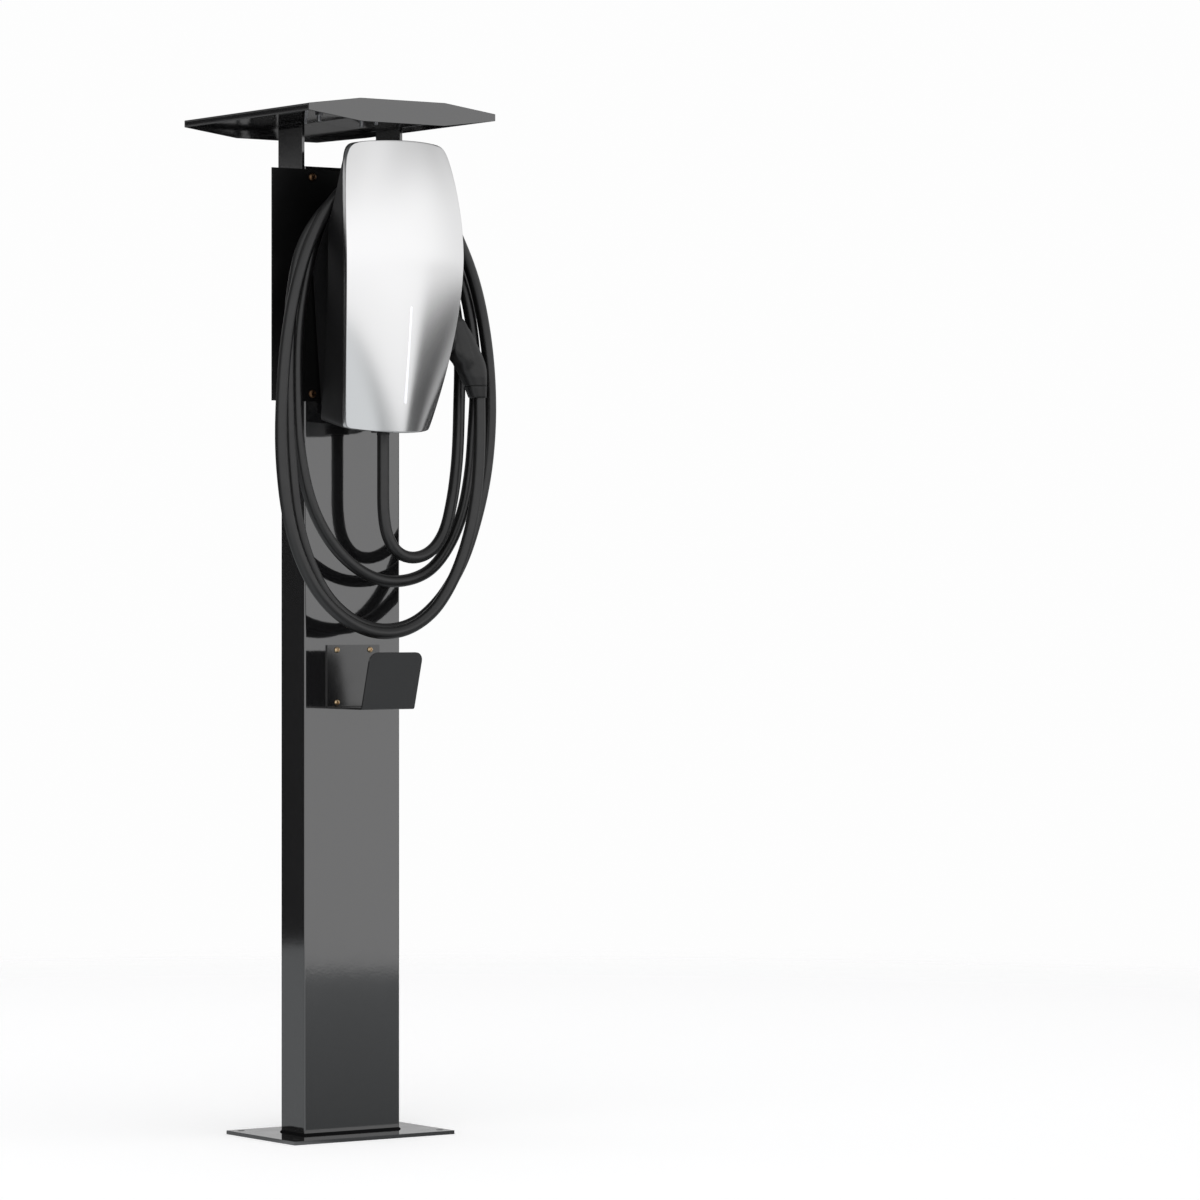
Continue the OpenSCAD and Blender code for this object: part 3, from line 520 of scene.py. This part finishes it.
def inwards(Q, t):
    """Moves a closed outline in along its own normal."""
    d = np.roll(Q, -1, 0) - np.roll(Q, 1, 0)
    nrm = np.stack([d[:, 1], -d[:, 0]], 1)
    nrm /= np.linalg.norm(nrm, axis=1)[:, None]
    return Q - t * nrm


N_SIDE = 84
UV = edge_uv(N_SIDE)
OUT = outline(UV)


def xyz(Q, y):
    return np.stack([Q[:, 0], np.broadcast_to(y, len(Q)), Q[:, 1]], 1)


# front cover: nested outlines, from the middle to the rim, round the rim and back inside
steps = [0.03] + list(np.linspace(0.08, 0.94, 40)) + [0.96, 0.975, 0.9875, 1.0]
rings = []
for s in steps:
    x, z = OUT[:, 0] * s, MID_Z + (OUT[:, 1] - MID_Z) * s
    rings.append(np.stack([x, front_y(x, z), z], 1))
rim0 = front_y(OUT[:, 0], OUT[:, 1])
rings.append(xyz(OUT, rim0 + RIM_D))
IN = inwards(OUT, 2.5)
rings.append(np.stack([IN[:, 0], rim0 + RIM_D, IN[:, 1]], 1))
for s in (1.0, 0.9, 0.75, 0.55, 0.3, 0.05):
    x, z = IN[:, 0] * s, MID_Z + (IN[:, 1] - MID_Z) * s
    rings.append(np.stack([x, front_y(x, z) + 2.6, z], 1))
V, F = loft(rings)
cover = mesh_piece("cover_shell", V, [tuple(reversed(f)) for f in F], 40)
n_ring, k_rim = len(OUT), len(steps) - 1
me = cover.data
w = me.attributes.new("bevel_weight_edge", "FLOAT", "EDGE")
for e in me.edges:
    a, b = e.vertices
    for k in (k_rim, k_rim + 1):
        if k * n_ring <= a < (k + 1) * n_ring and k * n_ring <= b < (k + 1) * n_ring:
            w.data[e.index].value = 1.0 if k == k_rim else 0.5
b = cover.modifiers.new("rim", "BEVEL")
b.width, b.segments, b.limit_method = 1.3 * MM, 4, "WEIGHT"
bake_modifiers(cover)

# the slot of the light bar, cut through the cover
BAR_Z0, BAR_Z1, TILT, LIGHT_W = 972.0, 1099.0, math.radians(6.5), 3.7
bar_mid = (BAR_Z0 + BAR_Z1) / 2
bar_y = float(front_y(0.0, bar_mid))


def stadium(width, n=20):
    h = (BAR_Z1 - BAR_Z0) / 2 / math.cos(TILT) - LIGHT_W / 2
    a = np.linspace(0, math.pi, n)
    top = np.stack([width / 2 * np.cos(a), h + LIGHT_W / 2 - width / 2 + width / 2 * np.sin(a)], 1)
    return np.vstack([top, -top])


def bar_frame(S, out):
    """Points of an outline across and up the bar, out of the cover's face by out."""
    x, u = S[:, 0], S[:, 1]
    y, z = -out + 0 * u, u
    return np.stack([x, bar_y + y * math.cos(TILT) - z * math.sin(TILT), bar_mid + y * math.sin(TILT) + z * math.cos(TILT)], 1)


cut(cover, mesh_piece("slot_cutter", *loft([bar_frame(stadium(LIGHT_W - 0.2), d) for d in (15, -15)])))

# shading normals of the cover's face from its own formula, so that the highlights run clean
me = cover.data
me.shade_smooth()
me.set_sharp_from_angle(angle=math.radians(30))
co = np.zeros(len(me.vertices) * 3)
me.vertices.foreach_get("co", co)
co = co.reshape(-1, 3) / MM
h = 7.0
dx = (front_y(co[:, 0] + h / 2, co[:, 2]) - front_y(co[:, 0] - h / 2, co[:, 2])) / h
dz = (front_y(co[:, 0], co[:, 2] + h) - front_y(co[:, 0], co[:, 2] - h)) / (2 * h)
analytic = np.stack([dx, -np.ones(len(co)), dz], 1)
analytic /= np.linalg.norm(analytic, axis=1)[:, None]
on_face = np.abs(co[:, 1] - front_y(co[:, 0], co[:, 2])) < 0.06
on_face &= np.abs(co[:, 0]) < half_w(co[:, 2]) - 6
on_face &= (co[:, 2] < MID_Z + TOP_H - 7) & (co[:, 2] > MID_Z - LOW_H + 10)
corner = np.zeros(len(me.loops) * 3, np.float32)
me.corner_normals.foreach_get("vector", corner)
corner = corner.reshape(-1, 3)
for p in me.polygons:
    nrm = np.array(p.normal)
    for li in p.loop_indices:
        vi = me.loops[li].vertex_index
        if on_face[vi] and nrm.dot(analytic[vi]) > 0.9:
            corner[li] = analytic[vi]
me.normals_split_custom_set(corner.tolist())
finish_piece(cover, "cover_silver", "front_cover")

# light bar: a lens with a crowned edge, a little proud of the cover
bar_rings = [bar_frame(stadium(LIGHT_W - 0.5), -4.6), bar_frame(stadium(LIGHT_W - 0.5), -0.1)]
for k in range(1, 6):
    a = k / 5 * math.pi / 2
    bar_rings.append(bar_frame(stadium(LIGHT_W - 0.5 - 1.0 * (1 - math.cos(a)) * 2), -0.1 + 0.6 * math.sin(a)))
V, F = loft(bar_rings)
finish_piece(mesh_piece("light_lens", V, [tuple(reversed(f)) for f in F], 50), "light_lens", "light_bar")

# seal between the cover and the housing, set back a little
S0, S1 = inwards(OUT, 0.5), inwards(OUT, 2.3)
V, F = loft([np.stack([Q[:, 0], rim0 + RIM_D + d, Q[:, 1]], 1) for Q, d in ((S0, 0.0), (S0, SEAL_T), (S1, SEAL_T), (S1, 0.0))], close=True)
finish_piece(mesh_piece("seal_ring", V, [tuple(reversed(f)) for f in F], 40), "black_rubber", "cover_seal")


# rear housing
def lip_len(z):
    z = np.asarray(z, float)
    mid = 36.7 * (1 - (np.clip(z - 1210, 0, 80) / 80) ** 0.7)
    low = 36.7 + 16 * (np.maximum(0, 1210 - z) / 270) ** 2
    return np.where(z > 1290, 0, np.where(z > 1210, mid, low))


def hub_side(z):
    return 51 + 17 * (np.maximum(0, z - 958) / 224) ** 0.9


def hub_pt(q):
    d = q - np.array([0, LIP_CZ])
    top = np.array([0, 1182.0]) + 68 * d / np.linalg.norm(d, axis=1)[:, None]
    z = 1182 - (LIP_CZ - q[:, 1]) * 224 / 258
    low = np.stack([q[:, 0] / half_w(q[:, 1]) * hub_side(z), z], 1)
    return np.where((q[:, 1] >= LIP_CZ)[:, None], top, low)


def lip_pt(q):
    return np.stack([q[:, 0], q[:, 1] + 15 * (np.maximum(0, 1000 - q[:, 1]) / 66) ** 2], 1)


def inset(q, t):
    c = np.stack([np.zeros(len(q)), np.minimum(LIP_CZ, np.maximum(1010, q[:, 1]))], 1)
    d = q - c
    return q - t * d / np.linalg.norm(d, axis=1)[:, None]


def housing(t, e):
    y_rim = front_y(OUT[:, 0], OUT[:, 1]) + RIM_D + SEAL_T
    y_lip = -rim_y(OUT[:, 1]) + RIM_D + SEAL_T + lip_len(OUT[:, 1])
    a, b = lip_pt(OUT), hub_pt(OUT)
    rim = inset(OUT, t)
    out = [np.stack([rim[:, 0], y_rim, rim[:, 1]], 1)]
    if t == 0:                      # a shallow step behind the seal, then the side wall in a few rows
        for k in (0.12, 0.3, 0.55, 0.8):
            Q = OUT * (1 - k) + a * k
            out.append(np.stack([Q[:, 0], y_rim * (1 - k) + y_lip * k, Q[:, 1]], 1))
    A = inset(a, t)
    out.append(np.stack([A[:, 0], y_lip, A[:, 1]], 1))
    for f in (0.02, 0.05, 0.08, 0.12, 0.16, 0.21, 0.27, 0.34, 0.42, 0.52, 0.64, 0.8, 1.0):
        k = (1 - f) ** 6
        Q = inset(b + (a - b) * k, t)
        out.append(np.stack([Q[:, 0], y_lip + (HB - e - y_lip) * f, Q[:, 1]], 1))
    return out


V, F = loft(list(reversed(housing(SHELL_T, SHELL_T))) + housing(0, 0))
body = mesh_piece("housing_shell", V, [tuple(reversed(f)) for f in F], 38)
boss = mesh_piece("boss_solid", *[(place(v, (12, -87, 936), (0, 0, 1)), f) for v, f in [lathe([(0, 0), (15.4, 0), (16, 0.6), (16, 12.6)], 64)]][0])
m = body.modifiers.new("boss", "BOOLEAN")
m.operation, m.solver, m.object = "UNION", "EXACT", boss
bake_modifiers(body)
bpy.data.objects.remove(boss)
smooth_by_angle(body.data, 38)
finish_piece(body, "housing_black", "rear_housing")

# strain relief with shallow rings
prof = [(0, 0), (8.15, 0), (8.45, 0.4)]
for k in range(5):
    z0 = 2.2 + 3.6 * k
    r0 = 8.4 + 2.4 * z0 / 27
    prof += [(r0, z0), (r0 - 0.55, z0 + 0.25), (r0 - 0.5, z0 + 1.15), (r0 + 0.12, z0 + 1.4)]
prof += [(10.5, 22.5), (10.8, 27), (0, 27)]
V, F = lathe(prof, 64)
finish_piece(mesh_piece("boot_rings", place(V, (12, -87, 933), (0, 0, 1)), F, 30), "black_rubber", "cable_boot")


# ------------------------------------------------------------------ connector
def handle_sides(z):
    left = np.interp(z, [1000, 1010, 1022, 1035.5, 1044, 1091], [128, 122.5, 115, 106, 100, 100])
    right = np.interp(z, [1000, 1020, 1030.5, 1040, 1050.5, 1067.5, 1086, 1091], [158.5, 158.5, 156, 152, 146, 134.5, 122, 117])
    return left, right


def handle_ring(z, front, scale=1.0, n=61):
    """Half of a level section: flat against the dock above, rounded on both sides below. The front
    half carries the raised barrel of the grip, which runs down and to the right."""
    zs = np.linspace(z - 3, z + 3, 7).clip(1000, 1091)
    left, right = (np.mean([handle_sides(q)[k] for q in zs]) for k in (0, 1))
    a, xc = (right - left) / 2, (right + left) / 2
    d = np.interp(z, [1000, 1012, 1060, 1091], [13.6, 15.2, 15.4, 14.6])
    t = np.linspace(math.pi, 2 * math.pi, n) if front else np.linspace(0, math.pi, n)
    c, s = np.cos(t), np.sin(t)
    p_left = 2 / np.interp(z, [1030, 1050], [2.4, 9.0])
    px = np.where(c < 0, p_left, 2 / 2.4)
    py = np.where(c < 0, np.interp(z, [1030, 1050], [2 / 2.4, 0.5]), 2 / 2.4)
    x = xc + a * scale * np.sign(c) * np.abs(c) ** px
    depth = d * scale * np.abs(s) ** py
    if front:
        along = (x - 120.6) * 0.4 - (z - 1041) * 0.9165
        across = (x - 120.6) * 0.9165 + (z - 1041) * 0.4
        q = np.clip(1 - (np.abs(across) / 13.6) ** 2.2, 0, 1) ** (1 / 2.2)
        q = q * np.clip(1 - (np.maximum(0, along - 1) / 25.0) ** 2.2, 0, 1) ** (1 / 2.2)
        edge = np.clip(1 - (np.abs(np.abs(c))) ** 10, 0, 1) ** 0.5
        raised = 17.3 * q * edge * min(1.0, scale ** 3)
        depth = (depth ** 14 + raised ** 14) ** (1 / 14)
    y = -110 + (-0.07 - depth if front else 0.07 + depth)
    return np.stack([x, y, np.full(n, z)], 1)


def handle_half(name, front, node):
    zs = [(1000.0, 0.972), (1000.4, 0.99), (1001.2, 1.0)] + [(z, 1.0) for z in np.linspace(1002.5, 1083.5, 66)]
    zs += [(1085.2, 0.995), (1086.8, 0.975), (1088.3, 0.94), (1089.6, 0.885), (1090.5, 0.81), (1091.0, 0.7)]
    V, F = loft([handle_ring(z, front, s) for z, s in zs])
    ob = mesh_piece(name, V, F, 45)
    b = ob.modifiers.new("seam", "BEVEL")
    b.width, b.segments, b.limit_method, b.angle_limit = 0.4 * MM, 2, "ANGLE", math.radians(62)
    bake_modifiers(ob)
    # pocket of the release button
    box = np.array([(x, y, z) for z in (-7.5, 6) for x, y in ((-11.5, -7), (11.5, -7), (11.5, 7), (-11.5, 7))], float)
    cutter = mesh_piece(name + "_pocket", button_place(box), [(3, 2, 1, 0), (4, 5, 6, 7), (0, 1, 5, 4), (1, 2, 6, 5), (2, 3, 7, 6), (3, 0, 4, 7)])
    bv = cutter.modifiers.new("round", "BEVEL")
    bv.width, bv.segments, bv.limit_method = 2.0 * MM, 4, "ANGLE"
    bake_modifiers(cutter)
    cut(ob, cutter)
    smooth_by_angle(ob.data, 40)
    return finish_piece(ob, "connector_black", node)


def button_place(P):
    a = math.radians(55.9)
    P = np.asarray(P, float)
    return np.stack([135 + P[:, 0] * math.cos(a) + P[:, 2] * math.sin(a), -110 + P[:, 1], 1066.8 - P[:, 0] * math.sin(a) + P[:, 2] * math.cos(a)], 1)


shell_a = handle_half("handle_front", True, "connector_shell_front")
shell_b = handle_half("handle_rear", False, "connector_shell_rear")


# release button: a rounded key with five grip ribs
def rrect_ring(w, d, r, z, n=6):
    out = []
    for cx, cy, a0 in ((w / 2 - r, d / 2 - r, 0), (-w / 2 + r, d / 2 - r, 90), (-w / 2 + r, -d / 2 + r, 180), (w / 2 - r, -d / 2 + r, 270)):
        for k in range(n + 1):
            a = math.radians(a0 + 90 * k / n)
            out.append((cx + r * math.cos(a), cy + r * math.sin(a), z))
    return np.array(out)


key = [rrect_ring(22, 13, 1.6, -3.4), rrect_ring(22, 13, 1.6, 0.2), rrect_ring(21.6, 12.6, 1.5, 0.7), rrect_ring(20.8, 11.8, 1.3, 1.0), rrect_ring(17, 9, 1.0, 1.05)]
parts = [loft(key)]
for k in range(5):
    x = -6.4 + 3.2 * k
    rib = [rrect_ring(1.3, 8.4, 0.5, 0.9), rrect_ring(1.2, 8.3, 0.5, 1.35), rrect_ring(0.7, 7.8, 0.3, 1.5)]
    rib = [r + np.array([x, 0, 0]) for r in rib]
    parts.append(loft(rib))
V, F = join(parts)
finish_piece(mesh_piece("button_key", button_place(V), F, 35), "button_black", "release_button", "button")

# collar under the handle, narrowing down to the cable, with a spigot inside the handle
def sleeve_ring(z, inset=0.0, n=72):
    k = (1000 - z) / 16
    t = np.linspace(0, 2 * math.pi, n, endpoint=False)
    c, s = np.cos(t), np.sin(t)
    w = 15 - 3.4 * k - inset
    d = 13.5 - 2.0 * k - inset
    return np.stack([143.6 + 3.3 * k ** 1.2 + w * np.sign(c) * np.abs(c) ** (2 / 2.4),
                     -110 + d * np.sign(s) * np.abs(s) ** (2 / 2.4), np.full(n, z)], 1)


def spigot_ring(z, r, n=72):
    t = np.linspace(0, 2 * math.pi, n, endpoint=False)
    return np.stack([146 + r * np.cos(t), -110 + r * np.sin(t), np.full(n, z)], 1)


cable_seat = np.stack([150 + 8.1 * np.cos(np.linspace(0, 2 * math.pi, 72, endpoint=False)),
                       -110 + 8.1 * np.sin(np.linspace(0, 2 * math.pi, 72, endpoint=False)), np.full(72, 984.0)], 1)
V, F = loft([cable_seat, sleeve_ring(984.0, 1.6), sleeve_ring(984.3, 0.6), sleeve_ring(985.0, 0.1)]
            + [sleeve_ring(z) for z in np.linspace(986.5, 998.0, 10)]
            + [sleeve_ring(999.3, 0.1), sleeve_ring(999.6, 0.5), sleeve_ring(999.9, 0.7), spigot_ring(999.95, 9.0), spigot_ring(1003.0, 9.0)])
finish_piece(mesh_piece("collar_sleeve", V, F, 32), "connector_black", "connector_collar")

cable.data.materials.append(M["cable_jacket"])

# ------------------------------------------------------------------ studio
floor_r = 3.7
V = [(0, 0, 0)]
F = []
n = 128
radii = [0.4, 1.0, 2.0, 3.0, floor_r]
for r in radii:
    V += [(r * math.cos(2 * math.pi * k / n), r * math.sin(2 * math.pi * k / n), 0) for k in range(n)]
F += [(0, 1 + k, 1 + (k + 1) % n) for k in range(n)]
for j in range(len(radii) - 1):
    a, b = 1 + j * n, 1 + (j + 1) * n
    F += [(a + k, b + k, b + (k + 1) % n, a + (k + 1) % n) for k in range(n)]
fm = bpy.data.meshes.new("floor")
fm.from_pydata(V, [], F)
floor = bpy.data.objects.new("floor", fm)
scene.collection.objects.link(floor)
fmat = bpy.data.materials.new("floor_paint")
fmat.use_nodes = True
nt = fmat.node_tree
nt.nodes.clear()
out = nt.nodes.new("ShaderNodeOutputMaterial")
mix = nt.nodes.new("ShaderNodeMixShader")
dif = nt.nodes.new("ShaderNodeBsdfPrincipled")
dif.inputs["Base Color"].default_value = (0.96, 0.96, 0.962, 1)
dif.inputs["Roughness"].default_value = 0.9
dif.inputs["Specular IOR Level"].default_value = 0.1
dif.inputs["Emission Color"].default_value = (1.0, 1.0, 1.0, 1)
dif.inputs["Emission Strength"].default_value = 0.21
tra = nt.nodes.new("ShaderNodeBsdfTransparent")
co_ = nt.nodes.new("ShaderNodeTexCoord").outputs["Object"]
ln = nt.nodes.new("ShaderNodeVectorMath")
ln.operation = "LENGTH"
nt.links.new(co_, ln.inputs[0])
mr = nt.nodes.new("ShaderNodeMapRange")
mr.interpolation_type = "SMOOTHSTEP"
mr.inputs["From Min"].default_value = 2.6
mr.inputs["From Max"].default_value = floor_r - 0.05
nt.links.new(ln.outputs["Value"], mr.inputs["Value"])
nt.links.new(mr.outputs[0], mix.inputs[0])
nt.links.new(dif.outputs[0], mix.inputs[1])
nt.links.new(tra.outputs[0], mix.inputs[2])
nt.links.new(mix.outputs[0], out.inputs["Surface"])
fm.materials.append(fmat)


def soft_box(name, centre, target, width, height, radiance, visible=True):
    """A rectangular soft box that looks at target. radiance is what a mirror would show of it."""
    l = bpy.data.lights.new(name, "AREA")
    l.shape = "RECTANGLE"
    l.size, l.size_y = width, height
    l.energy = radiance * math.pi * width * height
    ob = bpy.data.objects.new(name, l)
    ob.location = centre
    ob.rotation_euler = (Vector(target) - Vector(centre)).to_track_quat("-Z", "Y").to_euler()
    ob.visible_camera = False
    ob.visible_glossy = visible
    scene.collection.objects.link(ob)
    return ob


soft_box("box_top", (0.0, 0.6, 4.4), (0.0, 0.6, 0.0), 9.0, 9.0, 0.62, False)
soft_box("box_key", (-1.9, -2.6, 2.4), (0.0, 0.0, 0.8), 1.6, 1.6, 1.2, False)

# what the glossy faces see of the ground round the stand: a dim card, with the bright walls
# of the studio beyond its edge
card_mesh = bpy.data.meshes.new("ground_card")
card_mesh.from_pydata([(4.3 * math.cos(2 * math.pi * k / 96), 4.3 * math.sin(2 * math.pi * k / 96), -0.004) for k in range(96)], [], [tuple(range(96))])
card = bpy.data.objects.new("ground_card", card_mesh)
scene.collection.objects.link(card)
card.visible_camera = card.visible_diffuse = card.visible_shadow = card.visible_transmission = False
floor.visible_glossy = False
cmat = bpy.data.materials.new("ground_card")
cmat.use_nodes = True
nt = cmat.node_tree
nt.nodes.clear()


def smooth(nt, x, a, b):
    """0 where x is at a, 1 where it is at b, eased."""
    n = nt.nodes.new("ShaderNodeMapRange")
    n.interpolation_type = "SMOOTHSTEP"
    flip = a > b
    n.inputs["From Min"].default_value = min(a, b)
    n.inputs["From Max"].default_value = max(a, b)
    n.inputs["To Min"].default_value = 1.0 if flip else 0.0
    n.inputs["To Max"].default_value = 0.0 if flip else 1.0
    nt.links.new(x, n.inputs["Value"])
    return n.outputs[0]


def mul(nt, *v):
    out = v[0]
    for w in v[1:]:
        out = math_node(nt, "MULTIPLY", out, w)
    return out


def add(nt, *v):
    out = v[0]
    for w in v[1:]:
        out = math_node(nt, "ADD", out, w)
    return out


out = nt.nodes.new("ShaderNodeOutputMaterial")
sep = nt.nodes.new("ShaderNodeSeparateXYZ")
nt.links.new(nt.nodes.new("ShaderNodeTexCoord").outputs["Object"], sep.inputs[0])
cx, cy = sep.outputs[0], sep.outputs[1]
r2 = add(nt, mul(nt, cx, cx), mul(nt, cy, cy))
r = math_node(nt, "SQRT", math_node(nt, "MAXIMUM", r2, 1e-6))
side = math_node(nt, "DIVIDE", add(nt, mul(nt, cx, 0.533), mul(nt, cy, -0.846)), r)
w_front = smooth(nt, side, -0.2, 0.6)
w_back = math_node(nt, "SUBTRACT", 1.0, w_front)
l_front = add(nt, 0.265, mul(nt, r, 0.053))
level = add(nt, mul(nt, w_front, l_front), mul(nt, w_back, 0.45))
# brighter on the left, in front
left = smooth(nt, math_node(nt, "DIVIDE", add(nt, mul(nt, cx, -0.819), mul(nt, cy, -0.574)), r), 0.72, 0.95)
level = add(nt, mul(nt, level, math_node(nt, "SUBTRACT", 1.0, left)), mul(nt, left, 0.70))
see = add(nt, mul(nt, w_front, smooth(nt, r, 3.22, 2.92)), mul(nt, w_back, smooth(nt, r, 4.02, 3.66)))
em = nt.nodes.new("ShaderNodeEmission")
em.inputs["Color"].default_value = (0.95, 0.98, 1.0, 1)
nt.links.new(level, em.inputs["Strength"])
mix = nt.nodes.new("ShaderNodeMixShader")
nt.links.new(see, mix.inputs[0])
nt.links.new(nt.nodes.new("ShaderNodeBsdfTransparent").outputs[0], mix.inputs[1])
nt.links.new(em.outputs[0], mix.inputs[2])
nt.links.new(mix.outputs[0], out.inputs["Surface"])
card_mesh.materials.append(cmat)

# the walls of the studio, by direction: turn is 0 towards -Y, 90 towards -X, -90 towards +X
world = bpy.data.worlds.new("studio")
scene.world = world
world.use_nodes = True
nt = world.node_tree
nt.nodes.clear()
out = nt.nodes.new("ShaderNodeOutputWorld")
seen = nt.nodes.new("ShaderNodeBackground")
seen.inputs["Color"].default_value = (1.0, 1.0, 1.0, 1)
seen.inputs["Strength"].default_value = 0.985
lit = nt.nodes.new("ShaderNodeBackground")
sw = nt.nodes.new("ShaderNodeMixShader")
lp = nt.nodes.new("ShaderNodeLightPath")
g = nt.nodes.new("ShaderNodeTexCoord").outputs["Generated"]
sep = nt.nodes.new("ShaderNodeSeparateXYZ")
nt.links.new(g, sep.inputs[0])
gx, gy, gz = sep.outputs
turn = mul(nt, math_node(nt, "ARCTAN2", mul(nt, gx, -1.0), mul(nt, gy, -1.0)), 180 / math.pi)
rise = mul(nt, math_node(nt, "ARCSINE", gz), 180 / math.pi)
# front wall, from the right hand side round to the left
front = mul(nt, smooth(nt, turn, -128, -88), smooth(nt, turn, 112, 72))
level = add(nt, 0.86, mul(nt, smooth(nt, turn, -78, -34), 0.22))
upper = add(nt, 0.70, mul(nt, smooth(nt, rise, 36, 14), 0.30))
top_drop = math_node(nt, "SUBTRACT", 1.0, mul(nt, smooth(nt, rise, 17, 22), smooth(nt, turn, 4, -42), 0.40))
low_drop = math_node(nt, "SUBTRACT", 1.0, mul(nt, smooth(nt, rise, 2, -8), 0.08))
# low on the right it is dark, low on the left half bright
dark_turn = mul(nt, smooth(nt, turn, -37, -46))
dark = mul(nt, dark_turn, smooth(nt, rise, -0.5, -8))
gate = add(nt, math_node(nt, "SUBTRACT", 1.0, dark), mul(nt, dark, 0.03))
low_right = mul(nt, smooth(nt, turn, -74, -100), smooth(nt, turn, -150, -125), smooth(nt, rise, -2, -6), 0.34)
low_left = math_node(nt, "SUBTRACT", 1.0, mul(nt, smooth(nt, turn, 0, 25), smooth(nt, rise, -13, -24), 0.15))
wall = mul(nt, front, level, upper, top_drop, low_drop, gate, low_left)
# ceiling, and two light strips behind the stand
ceiling = mul(nt, smooth(nt, rise, 14, 40), math_node(nt, "SUBTRACT", 1.0, front), 0.22)
strip_r = mul(nt, smooth(nt, turn, -112, -128), smooth(nt, rise, 4.9, 5.9), smooth(nt, rise, 26, 12), 0.72)
strip_l = mul(nt, smooth(nt, turn, 112, 125), smooth(nt, turn, 172, 160), smooth(nt, rise, 3.7, 4.2), smooth(nt, rise, 5.0, 4.2), 0.24)
rim_l = mul(nt, smooth(nt, turn, 128, 138), smooth(nt, turn, 160, 150), smooth(nt, rise, 2.0, 2.5), smooth(nt, rise, 5.2, 4.4), 0.12)
rim_up = mul(nt, smooth(nt, turn, 118, 130), smooth(nt, turn, 172, 160), smooth(nt, rise, 6.6, 7.6), smooth(nt, rise, 20, 12), 0.5)
back_l = mul(nt, smooth(nt, turn, 118, 130), smooth(nt, rise, 3.0, 1.5), 0.018)
total = add(nt, wall, low_right, ceiling, strip_r, strip_l, rim_l, rim_up, back_l, 0.022)
lit.inputs["Color"].default_value = (0.995, 0.995, 1.0, 1)
nt.links.new(total, lit.inputs["Strength"])
nt.links.new(lp.outputs["Is Camera Ray"], sw.inputs[0])
nt.links.new(lit.outputs[0], sw.inputs[1])
nt.links.new(seen.outputs[0], sw.inputs[2])
nt.links.new(sw.outputs[0], out.inputs["Surface"])

scene.view_settings.view_transform = "Standard"
scene.view_settings.look = "None"
scene.view_settings.exposure = 0.0
scene.view_settings.gamma = 1.0
